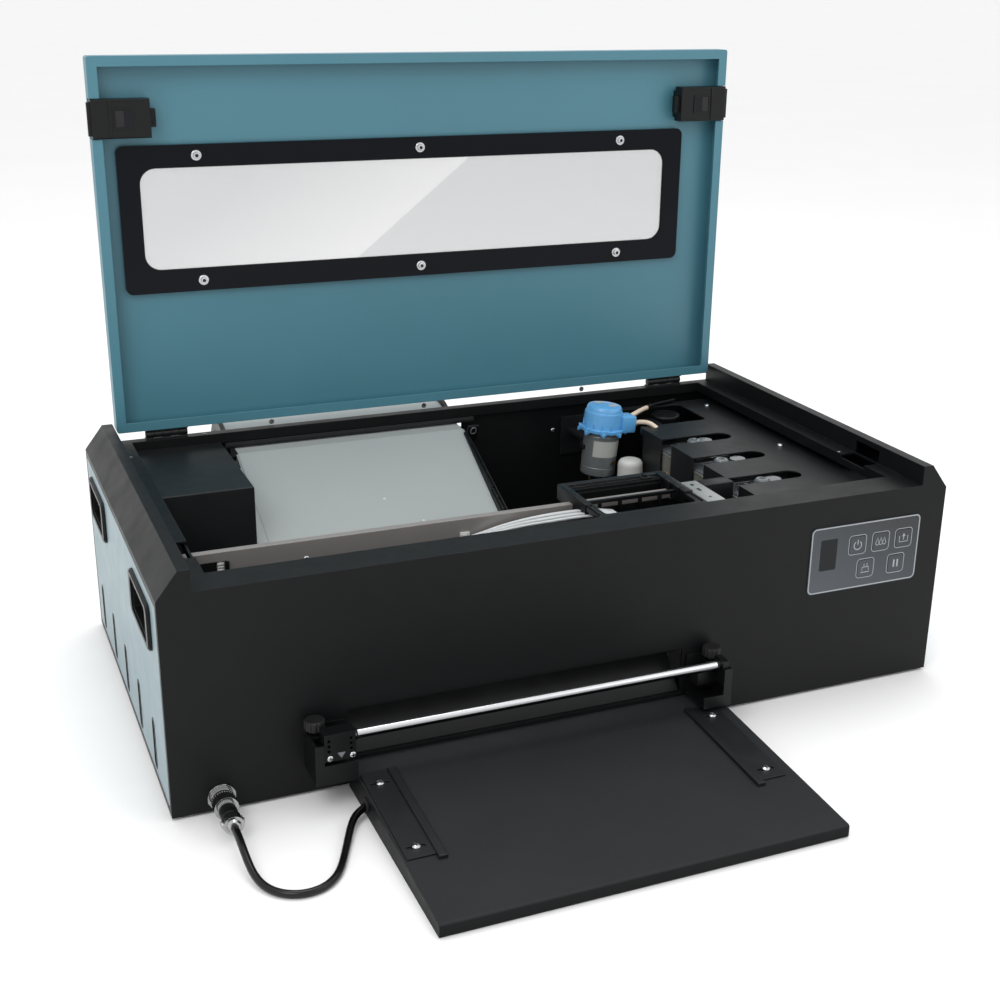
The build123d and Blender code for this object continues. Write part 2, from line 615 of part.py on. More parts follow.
def pump_motor():
    can = Pos(0, 0, -47) * Cylinder(MOTOR_R, 47, align=(Align.CENTER, Align.CENTER, Align.MIN))
    can = fillet(can.edges().group_by(Axis.Z)[0], 2)
    can += Pos(0, 0, -50) * Cylinder(5, 4, align=(Align.CENTER, Align.CENTER, Align.MIN))
    for a in (60, 240):
        can += Rot(0, 0, a) * Pos(9, 0, -52) * Box(1.0, 4, 11)
    return PUMP * can


def pump_bracket():
    """Half ring behind the motor on an arm from the rear panel."""
    ring = Pos(0, 0, -20) * Cylinder(MOTOR_R + 3, 4, align=(Align.CENTER, Align.CENTER, Align.MIN))
    arm = Pos(0, 38, -18) * Box(18, 46, 4)
    bore = Pos(0, 0, -22) * Cylinder(MOTOR_R + 0.02, 8, align=(Align.CENTER, Align.CENTER, Align.MIN))
    clamp = ring + arm - bore - Pos(0, -22, -18) * Box(50, 40, 8)
    clamp = PUMP * clamp
    clamp -= block(400, 600, CASE_D - SHEET - 1.5, CASE_D + 20, 0, 300)
    return clamp + block(495, 535, CASE_D - SHEET - 2, CASE_D - SHEET, 120, 162)


def hose(points, r):
    """A tube along straight runs joined by tangent arcs."""
    path = cord_path(points)
    start = path @ 0
    section = Plane(origin=start, z_dir=path % 0) * Circle(r)
    return sweep(section, path=path)


def cord_path(points):
    vectors = [Vector(*p) for p in points]
    radii = []
    for before, here, after in zip(vectors, vectors[1:], vectors[2:]):
        turn = (here - before).get_angle(after - here)
        run = min((here - before).length, (after - here).length)
        radii.append(0.45 * run / tan(radians(turn) / 2))
    print("bend radii:", [round(r, 1) for r in radii])
    return FilletPolyline(*points, radius=radii)


HOSE_R = 2.4
HOSE_ROUTES = [
    [(544.0, 305.0, 166.5), (550.5, 305.2, 165.8), (557.0, 307.0, 164.0), (563.5, 310.5, 161.0)],
    [(544.0, 316.0, 168.0), (550.5, 316.0, 167.0), (557.0, 317.0, 165.0), (563.5, 319.5, 162.0)],
]
TUBE_R = 1.2
TUBE_PITCH = 2.6
TUBE_ROUTE = [
    (281.0, 104.5, 153.0), (294.0, 103.8, 156.5), (310.0, 102.5, 161.0), (329.0, 100.5, 165.0),
    (349.0, 98.5, 167.8), (368.0, 97.5, 168.6), (386.0, 97.0, 168.2), (402.0, 96.7, 166.4), (416.0, 96.5, 163.4),
]


def pump_hoses():
    return Compound(children=[hose(route, HOSE_R).solid() for route in HOSE_ROUTES])


def ink_tubes():
    """Six tubes side by side, from the clip on the beam to the carriage."""
    first = hose(TUBE_ROUTE, TUBE_R)
    return Compound(children=[(Pos(0, -TUBE_PITCH * i, 0) * first).solid() for i in range(6)])


# ---------------------------------------------------------------- front bar
BRACKET_Z = (25.6, 59.5)     # bottom and top of the folded bar brackets
BRACKET_FRONT = -34.0


def bar_bracket(outer, inner, front_split, front_z, knob):
    """Folded bracket: back plate, outer side, floor, split front and a top tab for the knob."""
    z0, z1 = BRACKET_Z
    way = 1 if inner > outer else -1
    b = block(outer, inner, -2, 0, z0, z1 + 2.5)
    b += block(outer, outer + 2 * way, BRACKET_FRONT, -2, z0, z1)
    b += block(outer, front_split, BRACKET_FRONT, BRACKET_FRONT + 1.8, z0, z1)
    b += block(front_split, inner, BRACKET_FRONT, BRACKET_FRONT + 1.8, z0, front_z)
    b += block(outer, inner, BRACKET_FRONT, 0, z0, z0 + 2)
    b += block(outer, outer + 13.5 * way, -17.7, -2, z1 - 2, z1)
    b -= rod_z(z1 - 4, z1 + 1, knob[0], knob[1], 2.3)
    return b.solid()


KNOB_LEFT = (111.0, -9.8)
KNOB_RIGHT = (461.0, -9.8)
KNOB_R = 8.1


def slider_block(x_front0, x_front1, x_body0, x_body1, top, knob):
    piece = block(x_front0, x_front1, -31.6, -18, 44, top)
    piece += block(x_body0, x_body1, -18, -4, 40, 52)
    piece = piece - rod_x(x_front0 - 1, x_front1 + 1, BAR_Y, BAR_Z, 2.05)
    piece -= rod_z(39, 53, knob[0], knob[1], 2.15)
    return piece


def bar_slider_blocks():
    left = slider_block(112.4, 137.4, 107, 137.4, 67, KNOB_LEFT)
    for i in range(4):
        for x in (116.0, 133.5):
            left -= rod_y(-32, -28, x, 48.5 + 4.4 * i, 1.3)
    right = slider_block(460, 465.4, 444, 465.4, 66, KNOB_RIGHT)
    return Compound(children=[left.solid(), right.solid()])


def press_bar():
    bar = rod_x(138.0, 459.4, BAR_Y, BAR_Z, BAR_R)
    bar += rod_x(118, 138.0, BAR_Y, BAR_Z, 2.0)
    bar += rod_x(459.4, 464, BAR_Y, BAR_Z, 2.0)
    return bar


def knob(place):
    x, y = place
    head = rod_z(63, 71, x, y, KNOB_R)
    head = fillet(head.edges().group_by(Axis.Z)[-1], 1.5)
    for i in range(12):
        a = 2 * pi * i / 12
        head -= rod_z(62, 72, x + (KNOB_R + 0.6) * cos(a), y + (KNOB_R + 0.6) * sin(a), 1.4)
    return head + rod_z(60, 63, x, y, 4) + rod_z(42, 60, x, y, 2.0)


# ---------------------------------------------------------------- tray
TRAY_SLOPE = degrees(atan2(TRAY_REAR_H - TRAY_FRONT_H, -TRAY_FRONT_Y))
ON_TRAY = Pos(0, 0, TRAY_REAR_H) * Rot(TRAY_SLOPE, 0, 0)
CABLE_IN = (TRAY_X0, -45.4, 8.8)     # middle of the hole in the tray's side


def heated_tray():
    t = 1.5
    x0, x1 = TRAY_X0, TRAY_X1
    f = TRAY_FRONT_Y
    outer = prism_x([(0, 0), (0, TRAY_REAR_H), (f, TRAY_FRONT_H), (f, 0)], x0, x1)
    outer = fillet(outer.edges().filter_by(Axis.X).group_by(Axis.Y)[0], 2.0)
    inner = prism_x(
        [(-t, -1), (-t, TRAY_REAR_H - t), (f + t, TRAY_FRONT_H - t), (f + t, -1)], x0 + t, x1 - t,
    )
    tray = outer - inner
    tray -= rod_x(x0 - 1, x0 + t + 1, CABLE_IN[1], CABLE_IN[2], 4.6)
    for x in GUIDE_SCREWS_X:
        for y in GUIDE_SCREWS_Y:
            tray -= ON_TRAY * rod_z(-4, 1, x, y, 1.65)
    return tray


GUIDE_SCREWS_X = (153.0, 447.0)
GUIDE_SCREWS_Y = (-40.0, -124.0)
GUIDE_Y = (-142.0, -24.0)
GUIDE_T = 1.2
GUIDE_RAIL_H = 3.0
GUIDE_SLIDE = 5.0
GUIDE_SHIM = 0.15


def tray_guide(x_plate0, x_plate1, x_lip0, x_lip1, screw_x):
    """Thin plate with a raised rail, held by two screws in crosswise slots."""
    z = GUIDE_SHIM
    guide = block(x_plate0, x_plate1, GUIDE_Y[0] + 6, GUIDE_Y[1], z, z + GUIDE_T)
    rail = block(x_lip0, x_lip1, *GUIDE_Y, z, z + GUIDE_RAIL_H)
    rail = fillet(rail.edges().group_by(Axis.Z)[-1], 0.8)
    guide += rail
    for y in GUIDE_SCREWS_Y:
        reach = GUIDE_SLIDE + 0.6
        guide -= block(screw_x - reach, screw_x + reach, y - 1.9, y + 1.9, z - 1, z + GUIDE_T + 1)
        guide -= rod_z(z - 1, z + GUIDE_T + 1, screw_x - reach, y, 1.9)
        guide -= rod_z(z - 1, z + GUIDE_T + 1, screw_x + reach, y, 1.9)
    return ON_TRAY * guide


# ---------------------------------------------------------------- tray cable
CORD_R = 3.0
PLUG_TIP = -46.0
CORD_ROUTE = [
    (SOCKET_X, PLUG_TIP, SOCKET_Z), (SOCKET_X, -59.0, SOCKET_Z), (38.1, -72.0, 13.0), (38.6, -85.0, 9.4),
    (39.8, -97.5, 6.0), (43.0, -109.5, 4.0), (49.5, -120.0, 3.2), (59.5, -127.5, 3.2), (71.5, -130.2, 3.2),
    (83.5, -127.6, 3.2), (93.5, -120.0, 3.2), (100.8, -109.5, 3.2), (106.6, -97.5, 3.2), (112.2, -85.2, 3.5),
    (117.8, -73.0, 4.6), (123.6, -61.0, 6.2), (131.0, -51.0, 7.8), (TRAY_X0 + 3.0, -44.0, 9.0),
]


def connector_socket():
    """Round panel socket: flange nut outside, body inside the case."""
    s = rod_y(0.0, 14.0, SOCKET_X, SOCKET_Z, 8.0)
    s += rod_y(-3.0, 0.0, SOCKET_X, SOCKET_Z, 10.6)
    s += rod_y(-9.0, -3.0, SOCKET_X, SOCKET_Z, 8.6)
    return s


def cable_plug():
    """Cable plug: knurled coupling ring, body and cable clamp."""
    ring = rod_y(-21.0, -9.0, SOCKET_X, SOCKET_Z, 9.4)
    for i in range(30):
        a = 2 * pi * i / 30
        ring -= rod_y(-20.0, -11.0, SOCKET_X + 9.6 * cos(a), SOCKET_Z + 9.6 * sin(a), 0.5)
    plug = ring + rod_y(-37.0, -21.0, SOCKET_X, SOCKET_Z, 6.6)
    plug += rod_y(PLUG_TIP, -37.0, SOCKET_X, SOCKET_Z, 7.6)
    return plug


def cable_grommet():
    x = TRAY_X0
    g = rod_x(x - 1.6, x, CABLE_IN[1], CABLE_IN[2], 6.2)
    g += rod_x(x, x + 1.5, CABLE_IN[1], CABLE_IN[2], 4.55)
    g += rod_x(x + 1.5, x + 3.0, CABLE_IN[1], CABLE_IN[2], 6.2)
    return g - rod_x(x - 3, x + 5, CABLE_IN[1], CABLE_IN[2], CORD_R + 0.01)


# ---------------------------------------------------------------- control panel
KEY = 16.0
KEY_PLACES = [(609.0, 139.5), (633.5, 139.5), (658.0, 139.5), (619.5, 116.0), (652.0, 116.0)]


def control_overlay():
    x0, x1, z0, z1 = OVERLAY
    sheet = soften(block(x0, x1, -0.8, 0, z0, z1), Axis.Y, 5)
    for x, z in KEY_PLACES:
        hole = block(x - KEY / 2 - GAP, x + KEY / 2 + GAP, -2, 1, z - KEY / 2 - GAP, z + KEY / 2 + GAP)
        sheet -= soften(hole, Axis.Y, 2.3)
    return sheet


def control_key(x, z):
    cap = block(x - KEY / 2, x + KEY / 2, -1.2, 1.4, z - KEY / 2, z + KEY / 2)
    return soften(cap, Axis.Y, 2)


# ---------------------------------------------------------------- lid
LID_X0 = LID_SIDE
LID_X1 = CASE_W - LID_SIDE
LID_TOP_Z = LID_BOTTOM + LID_L
LID_BACK_Y = LID_REAR_Y + LID_T
# where the latch bolts meet the rails when the lid is closed
LATCH_REACH = LATCH_Z - HINGE_Z       # from the hinge pin to the middle of the latch
LATCH_POCKET_Y = (HINGE_Y - LATCH_REACH - LATCH_H / 2 - 1.0, HINGE_Y - LATCH_REACH + LATCH_H / 2 + 1.0)
LATCH_Y = (LID_REAR_Y - 2.5, LID_REAR_Y + 11.0)     # front and back of the latch housing


def lid_shell():
    """Folded tray: outer skin at the back, edge walls and a return flange at the front."""
    t = LID_SKIN
    y0, y1 = LID_REAR_Y, LID_BACK_Y
    shell = block(LID_X0, LID_X1, y0, y1, LID_BOTTOM, LID_TOP_Z)
    shell = soften(shell, Axis.Y, 2.5)
    shell -= block(LID_X0 + t, LID_X1 - t, y0 + t, y1 - t, LID_BOTTOM + t, LID_TOP_Z - t)
    shell -= block(
        LID_X0 + LID_RIM, LID_X1 - LID_RIM, y0 - 1, y0 + t + 1, LID_BOTTOM + LID_RIM, LID_TOP_Z - LID_RIM,
    )
    x0, x1, z0, z1 = PANE
    shell -= soften(block(x0 - 2, x1 + 2, y1 - t - 1, y1 + 1, z0 - 2, z1 + 2), Axis.Y, 17)
    z0, z1 = LATCH_Z - LATCH_H / 2 - 0.5, LATCH_Z + LATCH_H / 2 + 0.5
    for edge, way in ((LID_X0, 1), (LID_X1, -1)):
        shell -= block(edge - way, edge + way * (LID_RIM + 1), y0 - 1, LATCH_Y[1] + 0.5, z0, z1)
    return shell


SKIN_IN = LID_BACK_Y - LID_SKIN        # inner face of the lid's skin


def window_pane():
    x0, x1, z0, z1 = PANE
    return soften(block(x0 - 8, x1 + 8, SKIN_IN - 3, SKIN_IN, z0 - 8, z1 + 8), Axis.Y, 20)


def window_frame():
    """Black frame plate that clamps the pane, with a rebate for it."""
    x0, x1, z0, z1 = WINDOW
    frame = soften(block(x0, x1, SKIN_IN - 5, SKIN_IN, z0, z1), Axis.Y, 7)
    a0, a1, b0, b1 = PANE
    frame -= soften(block(a0, a1, SKIN_IN - 6, SKIN_IN + 1, b0, b1), Axis.Y, 15)
    frame -= soften(block(a0 - 8, a1 + 8, SKIN_IN - 3, SKIN_IN + 1, b0 - 8, b1 + 8), Axis.Y, 20)
    return frame


def latch_housing():
    """Left latch housing with its detent window and finger tab."""
    x0, x1 = LID_X0 + 0.5, LID_X0 + 52.0
    z0, z1 = LATCH_Z - LATCH_H / 2, LATCH_Z + LATCH_H / 2
    body = block(x0, x1, LATCH_Y[0], LATCH_Y[1], z0, z1)
    body = fillet(body.edges().group_by(Axis.Y)[0], 1.0)
    body += block(x1, x1 + 5, LATCH_Y[0] + 4, LATCH_Y[1] - 3, LATCH_Z - 8, LATCH_Z + 8)
    body += block(x0 + 12, x1, LATCH_Y[1], SKIN_IN, z0 + 4, z1 - 4)
    body -= block(x0 - 1, x0 + 28, LATCH_Y[0] + 2.2, LATCH_Y[1] - 2.2, z0 + 2.2, z1 - 2.2)
    body -= block(x0 + 20, x0 + 36, LATCH_Y[0] - 1, LATCH_Y[0] + 1.6, LATCH_Z - 7, LATCH_Z + 7)
    return body


def latch_bolt():
    """Left latch bolt: a tongue that slides in its housing and catches in the rail."""
    z0, z1 = LATCH_Z - LATCH_H / 2 + 2.5, LATCH_Z + LATCH_H / 2 - 2.5
    y0, y1 = LATCH_Y[0] + 2.5, LATCH_Y[1] - 2.5
    tip = RAIL_W + 0.4
    outline = [(tip, y0), (tip, y0 + 3.5), (tip + 4, y1), (tip + 24, y1), (tip + 24, y0)]
    face = make_face(Polyline(*[(x, y, z0) for x, y in outline], close=True))
    return extrude(face, amount=z1 - z0, dir=(0, 0, 1))


HINGE_X = ((56.0, 96.0), (597.0, 637.0))
PIN_R = 2.0
KNUCKLE_R = 3.5


def knuckles(x0, x1, parts):
    """Lengths of hinge knuckle that belong to one leaf; parts holds (start, end) in fifths."""
    step = (x1 - x0) / 5
    gap = 0.2
    return [(x0 + step * a + gap, x0 + step * b - gap) for a, b in parts]


def fixed_hinge_leaves():
    """Leaves on the rear ledge, with the outer and middle knuckles of each hinge."""
    leaves = []
    for x0, x1 in HINGE_X:
        leaf = block(x0, x1, HINGE_Y - 3.5, CASE_D, DECK_TOP, DECK_TOP + 1)
        leaf += block(x0, x1, CASE_D, CASE_D + 1, DECK_TOP - 16, DECK_TOP + 1)
        for a, b in knuckles(x0, x1, ((0, 1), (2, 3), (4, 5))):
            leaf += rod_x(a, b, HINGE_Y, HINGE_Z, KNUCKLE_R)
            leaf += block(a, b, HINGE_Y - 2, HINGE_Y + 2, DECK_TOP + 1, HINGE_Z)
        leaf -= rod_x(x0 - 1, x1 + 1, HINGE_Y, HINGE_Z, PIN_R + 0.05)
        for x in (x0 + 8, x1 - 8):
            leaf -= rod_y(CASE_D - 1, CASE_D + 3, x, DECK_TOP - 8, 1.6)
        leaves.append(leaf.solid())
    return Compound(children=leaves)


def moving_hinge_leaves():
    """Leaves under the lid's lower edge, with two knuckles each and the pin."""
    leaves = []
    for x0, x1 in HINGE_X:
        leaf = rod_x(x0, x1, HINGE_Y, HINGE_Z, PIN_R)
        leaf += block(x0, x1, LID_REAR_Y + 0.5, LID_BACK_Y, LID_BOTTOM - 1, LID_BOTTOM)
        for a, b in knuckles(x0, x1, ((1, 2), (3, 4))):
            leaf += rod_x(a, b, HINGE_Y, HINGE_Z, KNUCKLE_R)
            leaf += block(a, b, HINGE_Y - 2, HINGE_Y + 2, HINGE_Z, LID_BOTTOM - 1)
        leaves.append(leaf.solid())
    return Compound(children=leaves)


# ---------------------------------------------------------------- build
def main():
    os.makedirs("parts", exist_ok=True)
    save("base_pan", base_pan())
    save("feet", feet())
    save("front_panel", front_panel())
    save("rear_panel", rear_panel())
    left = left_side_frame()
    save("left_side_frame", left)
    save("right_side_frame", mirror_x(left))
    panel = inset_panel()
    save("side_inset_panels", Compound(children=[panel.solid(), mirror_x(panel).solid()]))
    save("hand_grip_cups", hand_grip_cups())
    save("electronics_cover", electronics_cover())
    save("power_inlet", power_inlet())
    save("film_guide_plate", film_guide_plate())
    save("film_web", film_web())
    save("film_roll", film_roll())
    save("roll_brackets", roll_brackets())
    save("platen", platen())
    save("feed_roller", feed_roller())
    save("carriage_beam", carriage_beam())
    save("guide_rod", guide_rod())
    save("carriage_belt", carriage_belt())
    save("idler_pulley", belt_pulley(IDLER_X))
    save("drive_pulley", belt_pulley(DRIVE_X))
    save("carriage", carriage())
    save("print_head", print_head())
    save("ink_bay_cover", ink_bay_cover())
    save("ink_tanks", ink_tanks())
    save("cleaning_bottle", bottle())
    save("bottle_cap", bottle_cap())
    save("capping_station", capping_station())
    save("pump_head", pump_head())
    save("pump_rotor", pump_rotor())
    save("pump_motor", pump_motor())
    save("pump_bracket", pump_bracket())
    save("pump_hoses", pump_hoses())
    save("ink_tubes", ink_tubes())
    left_bracket = bar_bracket(104.5, 138.0, 111.8, 42.0, KNOB_LEFT)
    right_bracket = bar_bracket(468.0, 442.0, 460.5, 36.0, KNOB_RIGHT)
    save("bar_brackets", Compound(children=[left_bracket, right_bracket]))
    save("bar_slider_blocks", bar_slider_blocks())
    save("press_bar", press_bar())
    save("left_bar_knob", knob(KNOB_LEFT))
    save("right_bar_knob", knob(KNOB_RIGHT))
    save("heated_tray", heated_tray())
    save("left_tray_guide", tray_guide(142, 168, 164, 171, GUIDE_SCREWS_X[0]))
    save("right_tray_guide", tray_guide(433, 458, 429, 436, GUIDE_SCREWS_X[1]))
    save("connector_socket", connector_socket())
    save("cable_plug", cable_plug())
    save("tray_cable", hose(CORD_ROUTE, CORD_R))
    save("cable_grommet", cable_grommet())
    save("control_overlay", control_overlay())
    for name, place in zip(("power", "ink", "feed", "clean", "pause"), KEY_PLACES):
        save(f"key_{name}", control_key(*place))
    save("lid_shell", lid_shell())
    save("window_frame", window_frame())
    save("window_pane", window_pane())
    housing = latch_housing()
    save("latch_housings", Compound(children=[housing.solid(), mirror_x(housing).solid()]))
    bolt = latch_bolt()
    save("left_latch_bolt", bolt)
    save("right_latch_bolt", mirror_x(bolt))
    save("fixed_hinge_leaves", fixed_hinge_leaves())
    save("moving_hinge_leaves", moving_hinge_leaves())


main()
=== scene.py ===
"""Looks of a desktop film printer with an open lid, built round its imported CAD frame.

Lengths in this file are millimetres from the front left bottom corner of the case, and at() turns them into
the frame's metres. Every mesh is built in place, so its object sits at the origin.
"""
from math import atan2, cos, pi, radians, sin

import bmesh
import bpy
from mathutils import Matrix, Vector


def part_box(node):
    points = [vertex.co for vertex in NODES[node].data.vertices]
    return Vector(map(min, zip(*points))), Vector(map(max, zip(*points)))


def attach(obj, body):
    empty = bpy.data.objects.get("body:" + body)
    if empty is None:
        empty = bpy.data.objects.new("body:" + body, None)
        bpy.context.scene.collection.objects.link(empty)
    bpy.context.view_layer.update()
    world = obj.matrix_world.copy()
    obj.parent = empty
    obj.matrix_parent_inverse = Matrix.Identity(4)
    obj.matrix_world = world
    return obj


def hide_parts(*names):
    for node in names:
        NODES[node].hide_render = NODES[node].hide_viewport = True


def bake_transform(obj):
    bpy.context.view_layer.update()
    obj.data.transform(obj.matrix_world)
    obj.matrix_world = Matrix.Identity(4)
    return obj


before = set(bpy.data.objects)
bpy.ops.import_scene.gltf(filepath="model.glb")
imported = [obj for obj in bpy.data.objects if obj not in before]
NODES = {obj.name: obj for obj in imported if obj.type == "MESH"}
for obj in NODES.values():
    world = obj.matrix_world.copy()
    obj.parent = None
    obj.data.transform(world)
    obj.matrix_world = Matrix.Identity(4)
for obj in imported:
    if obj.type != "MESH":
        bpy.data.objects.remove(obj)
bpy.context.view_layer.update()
MM = 0.001

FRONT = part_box("front_panel")
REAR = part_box("rear_panel")
CASE = Vector((FRONT[0].x, FRONT[0].y, 0))
CASE_W = (FRONT[1].x - FRONT[0].x) / MM
CASE_D = (REAR[1].y - FRONT[0].y) / MM


def at(x, y, z):
    """A point of the frame, from millimetres off the case's front left bottom corner."""
    return CASE + Vector((x, y, z)) * MM


class Limits:
    """A CAD node's box in case millimetres: both ends and the middle along each axis."""

    def __init__(self, node):
        low, high = ((corner - CASE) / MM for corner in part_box(node))
        self.x0, self.y0, self.z0 = low
        self.x1, self.y1, self.z1 = high
        self.x, self.y, self.z = ((a + b) / 2 for a, b in zip(low, high))


def add(name, data):
    thing = bpy.data.objects.new(name, data)
    bpy.context.scene.collection.objects.link(thing)
    return thing


def spin(axis, angle):
    return Matrix.Rotation(angle, 4, axis)


def shift(x, y, z):
    return Matrix.Translation((x, y, z))


# ---- camera
LENS = 51.49
CAMERA_AT = (-133.8, -959.5, 607.1)
AZIMUTH = radians(22.69)
DOWN = radians(20.13)
ROLL = radians(0.62)


def place_camera():
    data = bpy.data.cameras.new("camera")
    data.lens = LENS
    data.sensor_width = 36
    data.clip_end = 50
    camera = add("camera", data)
    turn = spin("Z", -AZIMUTH) @ spin("X", pi / 2 - DOWN) @ spin("Z", ROLL)
    camera.matrix_world = Matrix.Translation(at(*CAMERA_AT)) @ turn
    bpy.context.scene.camera = camera


place_camera()


# ---- material building
def rgb(r, g, b):
    """Linear colour from 0 to 255 display values."""
    def linear(c):
        c /= 255
        return c / 12.92 if c <= 0.04045 else ((c + 0.055) / 1.055) ** 2.4
    return linear(r), linear(g), linear(b), 1


def scaled(colour, k):
    return tuple(min(1, c * k) for c in colour[:3]) + (1,)


GRAIN_HEIGHT = 0.05       # millimetres


class Paint:
    """A Principled shader wired from noise, edges and bumps."""

    def __init__(self, name):
        self.material = bpy.data.materials.new(name)
        self.material.use_nodes = True
        self.tree = self.material.node_tree
        self.shader = self.tree.nodes["Principled BSDF"]
        self.coords = self.node("TexCoord").outputs["Object"]

    def put(self, socket, value):
        """Link an output to a socket, or set the socket to a number or colour."""
        if isinstance(value, bpy.types.NodeSocket):
            self.tree.links.new(value, socket)
        else:
            socket.default_value = value

    def fill(self, node, **inputs):
        """Link or set a node's inputs, named with _ for a space."""
        for name, value in inputs.items():
            self.put(node.inputs[name.replace("_", " ")], value)
        return node

    def node(self, kind, **inputs):
        return self.fill(self.tree.nodes.new("ShaderNode" + kind), **inputs)

    def axes(self, vector):
        """X, Y and Z of a vector."""
        return self.node("SeparateXYZ", Vector=vector).outputs

    def stretch(self, scale):
        """Object coordinates with another scale along each axis."""
        return self.node("Mapping", Scale=scale, Vector=self.coords).outputs["Vector"]

    def noise(self, scale, detail=3, vector=None):
        vector = vector or self.coords
        return self.node("TexNoise", Scale=scale, Detail=detail, Roughness=0.55, Vector=vector).outputs["Fac"]

    def remap(self, value, low, high, to_low, to_high):
        node = self.node("MapRange", Value=value, From_Min=low, From_Max=high, To_Min=to_low, To_Max=to_high)
        return node.outputs["Result"]

    def math(self, kind, a, b=0):
        node = self.node("Math")
        node.operation = kind
        self.put(node.inputs[0], a)
        self.put(node.inputs[1], b)
        return node.outputs["Value"]

    def mix(self, factor, first, second):
        node = self.node("Mix")
        node.data_type = "RGBA"
        for index, value in ((0, factor), (6, first), (7, second)):
            self.put(node.inputs[index], value)
        return node.outputs[2]

    def soft_edge(self, radius):
        """Normals rounded over the edges, and how near each point is to an edge."""
        bevel = self.node("Bevel", Radius=radius * MM)
        bevel.samples = 4
        dot = self.node("VectorMath")
        dot.operation = "DOT_PRODUCT"
        self.put(dot.inputs[0], bevel.outputs["Normal"])
        self.put(dot.inputs[1], self.node("NewGeometry").outputs["Normal"])
        return bevel.outputs["Normal"], self.remap(dot.outputs["Value"], 0.75, 0.98, 1, 0)

    def bump(self, height, strength, normal=None):
        node = self.node("Bump", Strength=strength, Distance=GRAIN_HEIGHT * MM, Height=height)
        if normal:
            self.put(node.inputs["Normal"], normal)
        return node.outputs["Normal"]


def surface(
    name, colour, rough, metal=0, mottle=0.06, patch=9, grain=0.1, fineness=1400, spread=0.06,
    edge=1.5, radius=0.5, coat=0, specular=0.5, streak=None, clear=0, underside_shade=1,
):
    """A painted, moulded or metal surface with mottling, fine grain, uneven gloss, and lighter edges that are
    partly wear and partly a painted highlight.

    edge is how much lighter the edges are, as wear and a painted highlight, or 0 for none, and radius how far
    they are rounded. The underside factor darkens the faces that don't look up, as painted shade.
    """
    p = Paint(name)
    colour = rgb(*colour)
    broad = p.remap(p.noise(patch, 4), 0.3, 0.7, 0, 1)
    fine = p.noise(fineness, 2, p.stretch(streak) if streak else None)
    base = p.mix(broad, scaled(colour, 1 - mottle), scaled(colour, 1 + mottle))
    base = p.mix(p.remap(fine, 0.35, 0.65, 0, 0.35), base, scaled(colour, 1 + 2.5 * mottle))
    normal = None
    if edge:
        normal, near_edge = p.soft_edge(radius)
        # Lighter edges, partly wear and partly a painted highlight.
        wear_and_highlight = p.math("MULTIPLY", near_edge, p.remap(p.noise(60, 5), 0.35, 0.65, 0.25, 0.9))
        base = p.mix(wear_and_highlight, base, scaled(colour, edge))
    # Painted shade: faces that don't look up are darker.
    if underside_shade != 1:
        up = p.axes(p.node("NewGeometry").outputs["Normal"])["Z"]
        base = p.mix(p.remap(up, -0.1, 0.7, 0, 1), scaled(colour, underside_shade), base)
    patchy = p.remap(p.noise(patch * 5, 5), 0.25, 0.75, rough - spread, rough + spread)
    p.fill(
        p.shader, Base_Color=base, Roughness=patchy, Normal=p.bump(fine, grain, normal), Metallic=metal,
        Specular_IOR_Level=specular, Coat_Weight=coat, Coat_Roughness=0.1, Transmission_Weight=clear,
    )
    return p.material


def window_glass():
    """Clear grey sheet with wipe marks, and a painted pale slanting sheen that stands for a soft box's
    reflection.
    """
    p = Paint("window_sheet")
    place = p.axes(p.coords)
    edge = at(276.4, 0, 348.8)
    # Painted sheen: a pale band brightens the colour up to a slanting edge.
    across = p.math("MULTIPLY", p.math("SUBTRACT", place["X"], edge.x), 0.62)
    up = p.math("MULTIPLY", p.math("SUBTRACT", place["Z"], edge.z), 0.784)
    past = p.math("SUBTRACT", across, up)
    sheen = p.math("MULTIPLY", p.remap(past, -0.13, 0, 0, 1), p.remap(past, 0, 0.0012, 1, 0))
    tint = p.mix(p.noise(3), rgb(219, 220, 221), rgb(223, 224, 225))
    marks = p.noise(40, 6, p.stretch((1, 1, 6)))
    p.fill(
        p.shader, Base_Color=p.mix(sheen, tint, rgb(240, 240, 240)), Transmission_Weight=0.86, IOR=1.35,
        Roughness=p.remap(marks, 0.3, 0.8, 0.02, 0.08),
    )
    return p.material


def overlay_sheet():
    """Glossy printed polyester, dark blue grey, with a painted sheen that lightens it towards its lower left.
    """
    p = Paint("control_film")
    sheet = Limits("control_overlay")
    low, high = at(sheet.x0, 0, sheet.z0), at(sheet.x1, 0, sheet.z1)
    place = p.axes(p.coords)
    across = p.remap(place["X"], low.x, high.x, 1, 0)
    up = p.remap(place["Z"], low.z, high.z, 1, 0)
    # Painted sheen: the colour lightens towards the lower left.
    light = p.math("MULTIPLY", p.math("ADD", across, up), 0.5)
    light = p.math("ADD", light, p.remap(p.noise(900, 2), 0.3, 0.7, -0.04, 0.04))
    p.fill(
        p.shader, Base_Color=p.mix(light, rgb(22, 26, 30), rgb(66, 72, 78)),
        Roughness=p.remap(p.noise(120, 5), 0.3, 0.7, 0.16, 0.26),
    )
    return p.material


